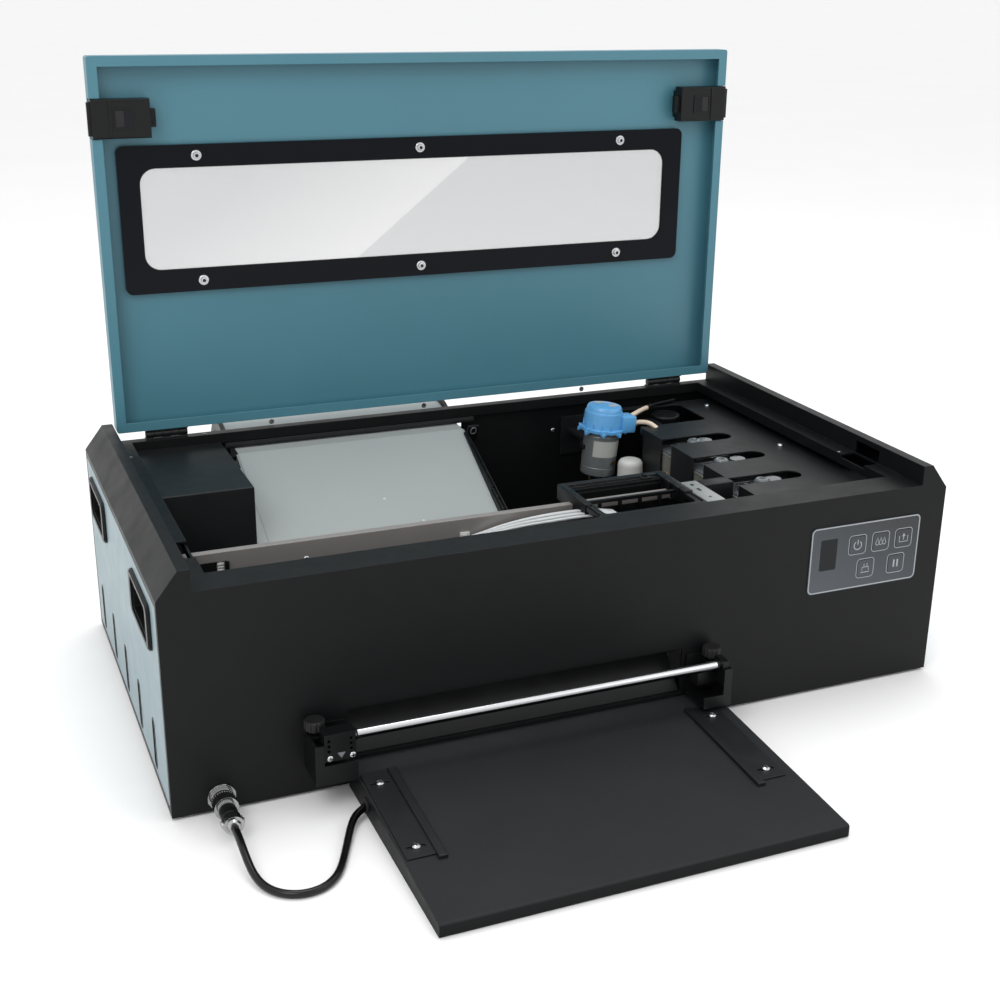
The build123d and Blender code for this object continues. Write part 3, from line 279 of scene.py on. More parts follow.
def roller_mix():
    """Steel shaft where it is thin, black rubber where it is thick."""
    p = Paint("feed_roller_finish")
    roller = Limits("feed_roller")
    centre = at(0, roller.y, roller.z)
    place = p.axes(p.coords)
    squares = [
        p.math("POWER", p.math("SUBTRACT", place[axis], middle), 2)
        for axis, middle in (("Y", centre.y), ("Z", centre.z))
    ]
    rubber = p.remap(p.math("SQRT", p.math("ADD", *squares)), 4.2 * MM, 4.4 * MM, 0, 1)
    steel = p.mix(p.noise(30), rgb(150, 152, 154), rgb(190, 192, 194))
    p.fill(
        p.shader, Base_Color=p.mix(rubber, steel, rgb(26, 26, 27)), Metallic=p.math("SUBTRACT", 1, rubber),
        Roughness=p.remap(rubber, 0, 1, 0.25, 0.75), Normal=p.bump(p.noise(1500), 0.2),
    )
    return p.material


ALONG_X, ALONG_Y, ALONG_Z = (0.02, 1, 1), (1, 0.05, 1), (1, 1, 0.05)
# Edge values above 1 lighten edges as wear and a painted highlight; underside values below 1 paint shade on
# the tray, bar and cable.
MATERIALS = {
    "case": surface(
        "case_paint", (15, 16, 17), 0.42, mottle=0.05, grain=0.2, edge=5, radius=0.9, specular=0.17,
    ),
    "side": surface("side_panel_paint", (128, 149, 156), 0.4, mottle=0.03, grain=0.12, edge=1.15),
    "lid": surface("lid_paint", (68, 119, 134), 0.4, mottle=0.03, grain=0.15, edge=1.45, radius=0.8),
    "sheet": surface("black_sheet_paint", (21, 23, 24), 0.44, grain=0.2, edge=4, radius=0.7, specular=0.33),
    "tray": surface(
        "tray_paint", (38, 40, 42), 0.5, mottle=0.09, patch=14, grain=0.3, fineness=1100, edge=2.6,
        radius=2, specular=0.12, underside_shade=0.15,
    ),
    "beam": surface(
        "beam_steel", (148, 144, 141), 0.42, metal=0.4, mottle=0.05, grain=0.12, streak=ALONG_X, edge=1.9,
        radius=0.8,
    ),
    "chrome": surface(
        "polished_steel", (176, 177, 176), 0.14, metal=1, mottle=0.03, grain=0.05, spread=0.05,
        streak=ALONG_Y, edge=1.1, radius=0.25,
    ),
    "bar": surface(
        "ground_bar", (226, 228, 230), 0.2, metal=1, mottle=0.03, grain=0.04, spread=0.04,
        streak=(1, 0.03, 0.03), edge=0, underside_shade=0.06,
    ),
    "screw": surface("screw_steel", (196, 198, 200), 0.24, metal=1, mottle=0.08, radius=0.15),
    "plastic": surface(
        "moulded_black", (14, 15, 16), 0.36, mottle=0.08, grain=0.3, fineness=1800, edge=5, radius=0.35,
        specular=0.24,
    ),
    "plastic_rough": surface(
        "textured_black", (24, 24, 25), 0.55, mottle=0.1, grain=0.6, fineness=1500, edge=2.4, radius=0.4,
        specular=0.35,
    ),
    "gloss_black": surface(
        "gloss_navy", (8, 11, 17), 0.12, mottle=0.1, grain=0.02, spread=0.03, edge=5, radius=0.3,
        specular=0.12,
    ),
    "rubber": surface("rubber", (20, 20, 21), 0.75, mottle=0.1, grain=0.5, fineness=1200),
    "cable": surface(
        "cable_jacket", (8, 8, 9), 0.27, mottle=0.08, grain=0.08, fineness=900, edge=0, specular=0.35,
        underside_shade=0.3,
    ),
    "pump": surface("pump_blue", (92, 163, 218), 0.3, mottle=0.03, edge=1.35, radius=0.4, coat=0.15),
    "motor": surface("motor_can", (132, 137, 139), 0.32, metal=0.5, mottle=0.05, streak=ALONG_Z, edge=1.3),
    "white": surface("white_plastic", (196, 197, 194), 0.4, mottle=0.02, grain=0.15, edge=1.05),
    "hose": surface("cream_hose", (226, 208, 186), 0.35, mottle=0.03, grain=0.08, edge=0, clear=0.1),
    "tube": surface("clear_tube", (222, 226, 228), 0.22, mottle=0.04, grain=0.03, edge=0, clear=0.35),
    "tank": surface("smoky_tank", (120, 126, 130), 0.2, mottle=0.08, grain=0.04, clear=0.45, coat=0.2),
    "clear": surface("clear_cap", (132, 139, 143), 0.12, mottle=0.05, grain=0.03, clear=0.6, edge=1.6),
    "plate": surface(
        "film_plate", (142, 148, 148), 0.36, metal=0.25, mottle=0.04, patch=5, grain=0.12,
        streak=(0.3, 1, 1), edge=1.25,
    ),
    "film": surface("film_coating", (152, 158, 158), 0.42, mottle=0.02, edge=0),
    "label": surface("blank_label", (176, 178, 174), 0.5, mottle=0.03, edge=0),
    "cover": surface("cover_plate", (150, 153, 153), 0.35, metal=0.3, grain=0.15, streak=ALONG_Y, edge=1.3),
    "print": surface("printed_line", (150, 155, 160), 0.4, mottle=0.03, grain=0.05, edge=0),
    # display_face is also laid as painted shade in screw recesses and socket holes.
    "dark_face": surface("display_face", (12, 15, 20), 0.12, mottle=0.1, grain=0.01, edge=0, specular=0.25),
    "brass": surface("valve_brass", (170, 150, 96), 0.35, metal=0.9, mottle=0.08, radius=0.2),
    "grey_metal": surface(
        "valve_plate", (128, 126, 118), 0.4, metal=0.5, mottle=0.08, grain=0.2, edge=1.4, radius=0.3,
    ),
    "window": window_glass(),
    "overlay": overlay_sheet(),
    "roller": roller_mix(),
}

NODE_FINISH = {
    "case": "front_panel rear_panel left_side_frame right_side_frame base_pan", "side": "side_inset_panels",
    "lid": "lid_shell",
    "sheet": (
        "electronics_cover ink_bay_cover roll_brackets pump_bracket left_tray_guide "
        "right_tray_guide fixed_hinge_leaves moving_hinge_leaves"
    ),
    "tray": "heated_tray", "beam": "carriage_beam",
    "chrome": "guide_rod idler_pulley drive_pulley connector_socket cable_plug", "bar": "press_bar",
    "plastic": (
        "latch_housings left_latch_bolt right_latch_bolt bar_slider_blocks carriage bottle_cap "
        "power_inlet platen cleaning_bottle bar_brackets"
    ),
    "plastic_rough": "hand_grip_cups left_bar_knob right_bar_knob", "gloss_black": "window_frame",
    "rubber": "feet carriage_belt cable_grommet", "pump": "pump_head", "motor": "pump_motor print_head",
    "white": "capping_station pump_rotor", "tank": "ink_tanks", "plate": "film_guide_plate",
    "film": "film_web film_roll", "window": "window_pane",
    "overlay": "control_overlay key_power key_ink key_feed key_clean key_pause", "roller": "feed_roller",
    "hose": "pump_hoses", "tube": "ink_tubes", "cable": "tray_cable",
}

for key, names in NODE_FINISH.items():
    for name in names.split():
        mesh = NODES[name].data
        mesh.materials.clear()
        mesh.materials.append(MATERIALS[key])


# ---- mesh building
RAW = Matrix.Identity(4)


def spot(x, y, z, turn=RAW):
    """Matrix that puts a piece drawn in millimetres about its own origin at a place on the machine."""
    return Matrix.Translation(at(x, y, z)) @ turn @ Matrix.Diagonal((MM, MM, MM, 1))


CORNER = spot(0, 0, 0)
# these turn local +Z to that side, and TO_FRONT has local +Y up
TO_FRONT, TO_BACK = spin("X", pi / 2), spin("X", -pi / 2)
TO_LEFT, TO_RIGHT = spin("Y", -pi / 2), spin("Y", pi / 2)


def loop(part, outline, z):
    return [part.verts.new((x, y, z)) for x, y in outline]


class Shape:
    """Collects simple solids into one mesh."""

    def __init__(self):
        self.bm = bmesh.new()

    def take(self, part, place):
        part.transform(place)
        mesh = bpy.data.meshes.new("part")
        part.to_mesh(mesh)
        part.free()
        self.bm.from_mesh(mesh)
        bpy.data.meshes.remove(mesh)

    def box(self, x0, x1, y0, y1, z0, z1, soft=0.3, place=CORNER):
        """A block with rounded edges, given by its limits."""
        part = bmesh.new()
        size = (abs(x1 - x0), abs(y1 - y0), abs(z1 - z0))
        bmesh.ops.create_cube(part, size=1, matrix=Matrix.Diagonal((*size, 1)))
        soft = min(soft, 0.45 * min(size))
        bmesh.ops.bevel(part, geom=part.edges[:], offset=soft, segments=2, profile=0.5, affect="EDGES")
        self.take(part, place @ shift((x0 + x1) / 2, (y0 + y1) / 2, (z0 + z1) / 2))

    def lathe(self, profile, place, segments=40):
        """Turn a profile of (radius, height) points round local Z. A radius of 0 closes the end."""
        part = bmesh.new()
        rings = [loop(part, polygon(r, r, segments) if r > 0 else [(0, 0)], z) for r, z in profile]
        for low, high in zip(rings, rings[1:]):
            for i in range(segments):
                j = (i + 1) % segments
                corners = [low[i % len(low)], low[j % len(low)], high[j % len(high)], high[i % len(high)]]
                unique = list(dict.fromkeys(corners))
                if len(unique) > 2:
                    part.faces.new(unique)
        self.close(part, place)

    def close(self, part, place):
        bmesh.ops.recalc_face_normals(part, faces=part.faces[:])
        self.take(part, place)

    def band(self, part, loops):
        """Faces between each ring of corners and the next."""
        for a, b in zip(loops, loops[1:]):
            for i in range(len(a)):
                j = (i + 1) % len(a)
                part.faces.new((a[i], a[j], b[j], b[i]))

    def prism(self, outline, height, place, soft=0):
        """Raise a flat outline of (x, y) points by a height along local Z."""
        part = bmesh.new()
        low, high = loop(part, outline, 0), loop(part, outline, height)
        part.faces.new(low[::-1])
        top = part.faces.new(high)
        self.band(part, (low, high))
        bmesh.ops.recalc_face_normals(part, faces=part.faces[:])
        if soft:
            bmesh.ops.bevel(part, geom=list(top.edges), offset=soft, segments=2, profile=0.5, affect="EDGES")
        self.take(part, place)

    def ring(self, outer, inner, height, place):
        """A flat ring between two outlines that have the same number of points."""
        part = bmesh.new()
        layers = ((outer, 0), (outer, height), (inner, height), (inner, 0))
        loops = [loop(part, outline, z) for outline, z in layers]
        self.band(part, loops + loops[:1])
        self.close(part, place)

    def stroke(self, points, width, height, place, closed=False):
        """A flat line of one width along (x, y) points."""
        left, right = [], []
        befores = (points[-1:] if closed else points[:1]) + points[:-1]
        afters = points[1:] + (points[:1] if closed else points[-1:])
        for (x, y), before, after in zip(points, befores, afters):
            a = atan2(after[1] - before[1], after[0] - before[0])
            left.append((x - sin(a) * width / 2, y + cos(a) * width / 2))
            right.append((x + sin(a) * width / 2, y - cos(a) * width / 2))
        if closed:
            self.ring(right, left, height, place)
        else:
            self.prism(right + left[::-1], height, place)

    def sweep(self, points, radius, sides=14):
        """A round tube through points in case millimetres."""
        part = bmesh.new()
        points = [Vector(p) for p in points]
        across = Vector((0, 0, 1)).cross(points[1] - points[0])
        across = across.normalized() if across.length > 1e-6 else Vector((1, 0, 0))
        rings = []
        for i, point in enumerate(points):
            along = (points[min(i + 1, len(points) - 1)] - points[max(i - 1, 0)]).normalized()
            across = (across - along * across.dot(along)).normalized()
            other = along.cross(across)
            circle = [point + radius * (x * across + y * other) for x, y in polygon(1, 1, sides)]
            rings.append([part.verts.new(corner) for corner in circle])
        self.band(part, rings)
        part.faces.new(rings[0][::-1])
        part.faces.new(rings[-1])
        self.close(part, CORNER)

    def cut(self, other):
        """Remove another shape from this one."""
        solids = []
        for shape in (self, other):
            mesh = bpy.data.meshes.new("cutting")
            shape.bm.to_mesh(mesh)
            solids.append(add("cutting", mesh))
        modifier = solids[0].modifiers.new("cut", "BOOLEAN")
        modifier.object = solids[1]
        modifier.solver = "EXACT"
        modifier.use_self = True
        graph = bpy.context.evaluated_depsgraph_get()
        result = bpy.data.meshes.new_from_object(solids[0].evaluated_get(graph))
        self.bm.clear()
        self.bm.from_mesh(result)
        for mesh in (solids[0].data, solids[1].data, result):
            bpy.data.meshes.remove(mesh)        # its object goes with it

    def copies(self, template, places):
        """Put copies of another shape at places, as matrices."""
        for place in places:
            self.take(template.bm.copy(), place)

    def finish(self, name, finish, body="chassis", slot=None, replaces=None):
        """Make the piece, with its material and body, and hide the node it takes the place of. The slot
        argument is not used.
        """
        mesh = bpy.data.meshes.new(name)
        bmesh.ops.remove_doubles(self.bm, verts=self.bm.verts, dist=1e-7)
        self.bm.to_mesh(mesh)
        self.bm.free()
        mesh.polygons.foreach_set("use_smooth", [True] * len(mesh.polygons))
        mesh.set_sharp_from_angle(angle=radians(32))
        mesh.materials.append(MATERIALS[finish])
        piece = add(name, mesh)
        if body:
            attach(piece, body)
        if replaces:
            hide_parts(replaces)
        return piece


def polygon(rx, ry, sides):
    """Points round an ellipse."""
    turn = [2 * pi * k / sides for k in range(sides)]
    return [(rx * cos(a), ry * sin(a)) for a in turn]


def rounded(width, height, radius, steps=5, x=0):
    """Outline of a rounded rectangle, x to the right of the origin."""
    points = []
    for cx, cy, start in ((1, 1, 0), (-1, 1, 1), (-1, -1, 2), (1, -1, 3)):
        for k in range(steps + 1):
            a = (start + k / steps) * pi / 2
            px = cx * (width / 2 - radius) + radius * cos(a)
            points.append((x + px, cy * (height / 2 - radius) + radius * sin(a)))
    return points


def arc(x, y, radius, start, end, steps):
    """Points of an arc, with its angles in degrees."""
    turn = [radians(start + (end - start) * i / steps) for i in range(steps + 1)]
    return [(x + radius * cos(a), y + radius * sin(a)) for a in turn]


def smooth_path(points):
    """Points of a smooth line through the given ones."""
    p = [Vector(q) for q in points]
    p = [2 * p[0] - p[1]] + p + [2 * p[-1] - p[-2]]
    path = []
    for a, b, c, d in zip(p, p[1:], p[2:], p[3:]):
        for k in range(8):
            t = k / 8
            bend = (2 * a - 5 * b + 4 * c - d) * t * t + (3 * b - a - 3 * c + d) * t ** 3
            path.append(0.5 * (2 * b + (c - a) * t + bend))
    return path + [p[-2]]


# ---- tray cable
CORD_R = 3
CORD_X = 38
CORD_ROUTE = [
    (CORD_X, Limits("cable_plug").y0, 15), (CORD_X, -59, 15), (38.1, -72, 13), (38.6, -85, 9.4),
    (39.8, -97.5, 6), (43, -109.5, 4), (49.5, -120, 3.2), (59.5, -127.5, 3.2), (71.5, -130.2, 3.2),
    (83.5, -127.6, 3.2), (93.5, -120, 3.2), (100.8, -109.5, 3.2), (106.6, -97.5, 3.2), (112.2, -85.2, 3.5),
    (117.8, -73, 4.6), (123.6, -61, 6.2), (131, -51, 7.8), (143, -44, 9),
]


def tray_cable():
    curve = bpy.data.curves.new("tray_cord", "CURVE")
    curve.dimensions = "3D"
    curve.bevel_depth = CORD_R * MM
    curve.bevel_resolution = 6
    curve.use_fill_caps = True
    line = curve.splines.new("NURBS")
    line.points.add(len(CORD_ROUTE) - 1)
    for point, place in zip(line.points, CORD_ROUTE):
        point.co = (*at(*place), 1)
    line.order_u = 3
    line.use_endpoint_u = True
    curve.materials.append(MATERIALS["cable"])
    cord = add("tray_cord", curve)
    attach(cord, "chassis")
    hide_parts("tray_cable")


tray_cable()


# ---- fasteners
def pan_screw(radius):
    """Pan head with a cross recess, its seat at local z = 0, in millimetres."""
    height = 0.62 * radius
    crown = [(radius * cos(a), height * (0.35 + 0.65 * sin(a))) for a in (0, 0.3, 0.6, 0.9, 1.2)]
    head, cross = Shape(), Shape()
    head.lathe([(0, 0), (radius, 0)] + crown + [(0, height)], RAW, 28)
    arm, web, core = 0.62 * radius, 0.13 * radius, 0.24 * radius
    for x, y, turn in ((arm, web, RAW), (web, arm, RAW), (core, core, spin("Z", pi / 4))):
        cross.box(-x, x, -y, y, 0.35 * height, 2 * height, 0.02, turn)
    head.cut(cross)
    return head


def socket_screw(radius):
    """Cap screw with a hexagon socket on a plain washer."""
    screw, socket = Shape(), Shape()
    screw.lathe([(0, 0.8), (radius, 0.8), (radius, 2.9), (radius - 0.25, 3.2), (0, 3.2)], RAW, 28)
    socket.prism(polygon(0.62 * radius, 0.62 * radius, 6), 4, shift(0, 0, 1.6))
    screw.cut(socket)
    washer = radius * 1.65
    screw.lathe([(0, 0), (washer, 0), (washer, 0.6), (radius * 1.55, 0.8), (0, 0.8)], RAW, 28)
    return screw


SMALL_SCREW = pan_screw(2.6)
M4_SCREW = pan_screw(3.4)
CAP_SCREW = socket_screw(2.9)


def screws(name, template, places, body="chassis"):
    """Screws at places, with dark crosses of painted shade laid in the cross recess of each pan head."""
    group = Shape()
    group.copies(template, places)
    group.finish(name, "screw", body)
    if template is CAP_SCREW:
        return
    radius = max(vert.co.x for vert in template.bm.verts)
    arm, web = 0.6 * radius, 0.12 * radius
    # Painted shade: dark crosses laid in the cut recess of each head.
    cross_shade = Shape()
    for place in places:
        for x, y in ((arm, web), (web, arm)):
            cross_shade.box(-x, x, -y, y, 0.2 * radius, 0.27 * radius, 0.02, place)
    cross_shade.finish(name + "_cross_shade", "dark_face", body)


# ---- lid
def lid_details():
    """Screws round the window frame, and the thin seal where the pane meets it."""
    rim, pane = Limits("window_frame"), Limits("window_pane")
    inset, corner, edge = 10, 72, 8
    places = [
        spot(x, rim.y0, z, TO_FRONT)
        for z in (rim.z0 + inset, rim.z1 - inset) for x in (rim.x0 + corner, rim.x, rim.x1 - corner)
    ]
    screws("window_cap_screws", CAP_SCREW, places, "lid")
    # Painted shade: dark hexagons at the bottom of the socket holes.
    socket_shade = Shape()
    for place in places:
        socket_shade.prism(polygon(1.75, 1.75, 6), 0.5, place @ shift(0, 0, 1.9))
    socket_shade.finish("window_screw_socket_shade", "dark_face", "lid")
    width, height = pane.x1 - pane.x0 - 2 * edge, pane.z1 - pane.z0 - 2 * edge
    outer, inner = rounded(width + 0.2, height + 0.2, 15, 8), rounded(width - 1.4, height - 1.4, 14.4, 8)
    bead = Shape()
    bead.ring(outer, inner, 1.2, spot(pane.x, pane.y0, pane.z, TO_FRONT))
    bead.finish("window_seal", "rubber", "lid")


def latch_details():
    """Raised frame, detent button and finger ribs on both latch housings."""
    box = Limits("latch_housings")
    trim, recess, lever = Shape(), Shape(), Shape()
    for side, edge in ((1, box.x0), (-1, box.x1)):
        place = spot(edge + side * 28, box.y0, box.z, TO_FRONT)
        trim.ring(rounded(18, 18, 1.5), rounded(15.4, 15.4, 1), 0.8, place)
        recess.prism(rounded(15.6, 15.6, 0.8), 0.3, place @ shift(0, 0, 0.05))
        lever.prism(rounded(7.4, 14.2, 0.8, x=-3.6 * side), 0.45, place @ shift(0, 0, 0.3), 0.2)
        near, far = edge + side * 15, edge + side * 17.2
        trim.box(near, far, box.y0 - 0.9, box.y0 + 0.4, box.z0 + 1, box.z1 - 1, 0.4)
        for k in range(3):
            x = edge + side * (53.4 + 1.4 * k)
            trim.box(x - 0.35, x + 0.35, box.y0 + 3.6, box.y0 + 4.2, box.z - 6.5, box.z + 6.5, 0.2)
        for z in (box.z0 + 1.6, box.z1 - 1.6):
            trim.box(edge + side * 3, edge + side * 44, box.y0 - 0.35, box.y0 + 0.2, z - 0.4, z + 0.4, 0.15)
    trim.finish("latch_trim", "plastic", "lid")
    recess.finish("latch_recess", "dark_face", "lid")
    lever.finish("latch_lever", "plastic_rough", "lid")


lid_details()
latch_details()


# ---- case
LEDGE = 186.5         # height of the lid ledges
SCREW_DEPTH = 1.3     # how far the ledge screws are let in, clear of the closed lid
INNER_REAR = CASE_D - 2
GRIP_LENGTH = 83


def case_screws():
    """Small screws on the ledges, inside the rear wall and on the back."""
    spots = ((34.5, 327), (112, 374), (588, 374), (CASE_W - 39, 108))
    places = [spot(x, y, LEDGE - SCREW_DEPTH) for x, y in spots]
    places += [spot(x, INNER_REAR, z, TO_FRONT) for x, z in ((486, 148), (603, 178), (622, 178))]
    back = [(20, 14)] + [(x, z) for x in (180, 340, 520, 680) for z in (14, 190)]
    places += [spot(x, CASE_D, z, TO_BACK) for x, z in back]
    screws("case_screws", SMALL_SCREW, places)


def side_details():
    """Proud bezels round the hand grips, and dark linings in the vents, painted shade on their walls."""
    grips = Limits("hand_grip_cups")
    long, tall = GRIP_LENGTH + 4, grips.z1 - grips.z0 - 2
    outer, face = rounded(tall, long, 7), rounded(tall - 2.4, long - 2.4, 6)
    opening, throat = rounded(tall - 9, long - 18, 4), rounded(tall - 8.6, long - 17.6, 4.2)
    inner = rounded(tall - 13, long - 22, 3)
    vent_hole = rounded(41, 6.8, 3.3)
    bezels, shade_liners = Shape(), Shape()
    for turn, x in ((TO_LEFT, 0), (TO_RIGHT, CASE_W)):
        for y in (grips.y0 + 3 + GRIP_LENGTH / 2, grips.y1 - 3 - GRIP_LENGTH / 2):
            place = spot(x, y, grips.z, turn)
            bezels.ring(outer, opening, 2.2, place)
            bezels.ring(face, opening, 3.2, place)
            bezels.ring(throat, inner, 8, place @ shift(0, 0, -6.4))
        # Painted shade: dark linings on the vent walls, with a thin dark rim round each opening.
        for k in range(5):
            vent = spot(x, 62 + 70 * k, 35, turn)
            shade_liners.ring(rounded(45, 12.4, 6), vent_hole, 0.35, vent)
            shade_liners.ring(rounded(41.8, 7.8, 3.8), vent_hole, 3.2, vent @ shift(0, 0, -3))
    bezels.finish("grip_bezels", "plastic")
    shade_liners.finish("vent_shade_liners", "plastic")


def inlet_lip():
    """Folded lip over the film inlet, inside the rear wall."""
    end = Limits("film_guide_plate").x1 + 16
    lip = Shape()
    lip.box(131, end, INNER_REAR - 9, INNER_REAR, 174.5, 176, 0.4)
    lip.box(131, end, INNER_REAR - 9, INNER_REAR - 7.6, 170.5, 174.5, 0.4)
    lip.finish("film_inlet_lip", "sheet")


case_screws()
side_details()
inlet_lip()


# ---- film guide
def film_guide_details():
    """Black side channel along the right edge of the film plate, with its end bracket, and two pips."""
    low, top = Vector((0, 158, 82)), Vector((0, 356, 168))
    length = (top - low).length
    place = spot(0, low.y, low.z, spin("X", atan2(top.z - low.z, top.y - low.y)))
    edge = Limits("film_guide_plate").x1 + 0.8
    end = length - 8
    channel, ring, pips = Shape(), Shape(), Shape()
    channel.prism([(edge - 13, 14), (edge, 14), (edge, end), (edge - 4, end)], 3.2, place, 0.5)
    for near, far, stop in ((2.6, 1.2, 190), (6.8, 5.4, 120)):
        channel.box(edge - near, edge - far, 18, stop, 3, 5.6, 0.4, place)
    for k in range(7):
        y = 26 + 16 * k
        channel.box(edge - 5.4, edge - 2.6, y, y + 1.2, 3, 4.6, 0.2, place)
    channel.box(edge + 0.2, edge + 12, end, length - 5, -12, 9, 0.6, place)
    channel.finish("film_side_channel", "plastic")
    eye = place @ shift(edge + 6, length - 8.2, 3.5) @ TO_FRONT
    ring.ring(rounded(7, 9, 3.4), rounded(4.6, 6.6, 2.2), 0.8, eye)
    ring.finish("channel_eye", "motor")
    for x, along in ((262, 128), (290, 92)):
        pips.lathe([(0, 0.5), (1, 0.35), (1.5, 0), (1.6, -0.4), (0, -0.4)], place @ shift(x, along, 0.75), 20)
    pips.finish("film_guide_pips", "white")


film_guide_details()


# ---- film roll
def film_roll():
    box = Limits("film_roll")
    core, outer, flange, shaft_end = 9, 36, 40, 24
    left, right = box.x0 + shaft_end, box.x1 - shaft_end
    place = spot(left, box.y, box.z, TO_RIGHT)
    width = right - left
    winds = [(core + 2 + (outer - core - 3) * k / 11, 0.25 if k % 2 else 0.05) for k in range(12)]
    profile = [(core, 0.4), (core + 0.6, 0.2)] + winds
    profile += [(outer - 0.3, 0.05), (outer, 0.4), (outer, width - 0.4), (outer - 0.3, width - 0.05)]
    profile += [(r, width - 0.3 + dip) for r, dip in winds[::-1]] + [(core, width - 0.4), (core, 0.4)]
    roll, spindle, ribs = Shape(), Shape(), Shape()
    roll.lathe(profile, place, 96)
    roll.finish("wound_film", "film", "film_roll_body", replaces="film_roll")
    shaft = [(0, -24), (5.6, -24), (6, -23.6), (6, width + 23.6), (5.6, width + 24), (0, width + 24)]
    spindle.lathe(shaft, place, 40)
    disc = [(core, 0), (flange - 1, 0), (flange, 1), (flange, 4), (flange - 1, 5), (30, 5), (29, 4), (16, 4)]
    hub = [(15, 5), (11, 5), (11, 16.4), (10.4, 17), (6, 17), (6, 0), (core, 0)]
    for start, way in ((0, -1), (width, 1)):
        spindle.lathe([(r, start + way * h) for r, h in disc + hub], place, 72)
        low, high = sorted((start + way * 4, start + way * 5.4))
        for k in range(6):
            ribs.box(17, 28, -0.8, 0.8, low, high, 0.3, place @ spin("Z", k * pi / 3))
    spindle.finish("roll_spindle", "plastic", "film_roll_body", replaces="film_roll")
    ribs.finish("flange_ribs", "plastic", "film_roll_body")


film_roll()


# ---- carriage drive
def beam_details():
    beam = Limits("carriage_beam")
    y, top = beam.y0, beam.z1
    places = [spot(x, y, z, TO_FRONT) for x, z in ((140, 154), (beam.x0 + 6, 128), (beam.x1 - 7, 128))]
    screws("beam_screws", SMALL_SCREW, places)
    clip, tension, bush, cover, station, marks = (Shape() for _ in range(6))
    clip.box(275, 284, y - 2.4, y, 149.5, 158.5, 0.8)
    clip.box(276.5, 281.5, y - 3, y - 2.2, 151, 157)
    clip.finish("tube_clip", "white")
    tension.box(72.5, 74, y - 1.6, y, 146.5, 162.5)
    tension.box(73.6, 76, y - 2.4, y, 147, 162, 0.4)
    tension.finish("tension_plate", "plastic")
    bush.box(66.8, 71.8, y + 0.4, y + 3.4, 147.5, 161, 0.5)
    for k in range(5):
        bush.box(66.4, 72, y - 0.6, y + 0.6, 148.6 + 2.6 * k, 150 + 2.6 * k)
    bush.finish("tension_bush", "white")
    cover.box(495.2, 513.5, 51, 121, top + 0.3, top + 1.6, 0.4)
    cover.box(497.5, 511, y + 0.2, y + 5, top - 0.5, top + 0.4, 0.1)
    cover.finish("drive_cover_plate", "cover")
    station.box(503, 505, 52, 106, 5, top + 0.2, 0.4)
    station.box(515, 545.5, y + 0.1, y + 14, top - 0.6, top + 1.2, 0.5)
    station.box(515, 545.5, y - 1.4, y + 0.1, top - 22, top + 1.2, 0.5)
    station.finish("station_side_plate", "sheet")
    for along, length in ((62, 5), (78, 3), (98, 7), (111, 4)):
        marks.prism(rounded(3, length, 1.2), 0.12, spot(504, along, top + 1.6))
    marks.finish("cover_plate_marks", "dark_face")


def carriage_details():
    """Ribs, contact strips and the white parts inside the open carriage."""
    box = Limits("carriage")
    x0, x1, y0, y1, top = box.x0, box.x1, box.y0, box.y1, box.z1
    ribs, whites = Shape(), Shape()
    for k in range(4):
        x = x0 + 22 + 20 * k
        ribs.box(x, x + 1.4, y0 + 46, y0 + 52, top - 17, top - 5)
    for z in (top - 12, top - 20):
        ribs.box(x0 + 12, x1 - 12, y0 + 49.5, y0 + 50.8, z, z + 1.6)
    ribs.box(x1 - 26, x1 - 16, y1 - 14, y1 - 6, top - 10, top + 1.2, 0.6)
    ribs.box(x1 - 23, x1 - 19, y1 - 12, y1 - 8, top + 1, top + 3.2, 0.5)
    for x in (x0 + 1.5, x1 - 3):
        ribs.box(x, x + 1.5, y0 + 8, y1 - 8, top - 0.3, top + 1, 0.4)
    ribs.box(x0 + 8, x1 - 8, y1 - 3, y1 - 1.5, top - 0.3, top + 1, 0.4)
    for x, wide in ((x0 - 1, 7), (x1 - 8, 9)):
        ribs.box(x, x + wide, y0 + 30, y1 - 2, top - 13, top + 2, 1.2)
    ribs.box(x0 + 4, x1 - 4, y1 - 8, y1 - 1, top - 13, top + 1.6, 1.2)
    for k in range(5):
        x = x0 + 13 + 16.5 * k
        ribs.box(x, x + 2.2, y1 - 9.6, y1 - 7.6, top - 13, top + 0.6, 0.4)
    for y in (y0 + 40, y0 + 56):
        ribs.box(x1 - 9.6, x1 - 7.4, y, y + 8, top - 11, top + 2.6, 0.5)
    ribs.finish("carriage_ribs", "plastic", "carriage_body")
    for a, b in ((26, 52), (55, 72)):
        whites.box(x0 + a, x0 + b, y0 + 36, y0 + 42, box.z0 + 22, box.z0 + 24, 0.4)
    whites.lathe([(0, 0), (4.5, 0), (4.5, 1.6), (4, 2), (0, 2)], spot(x1 - 20, y0 + 38, box.z0 + 23), 28)
    for k in range(3):
        whites.prism(rounded(14, 4, 0.6), 1.2, spot(x0 + 30 + 22 * k, y0 + 78.5, top - 28))
    whites.finish("carriage_white_parts", "white", "carriage_body")


TUBE_ROUTE = [
    (281, 104.5, 153), (294, 103.8, 156.5), (310, 102.5, 161), (329, 100.5, 165), (349, 98.5, 167.8),
    (368, 97.5, 168.6), (386, 97, 168.2), (402, 96.7, 166.4), (416, 96.5, 163.4),
]
TUBE_COUNT = 8
TUBE_R = 1.15
TUBE_PITCH = 2.45


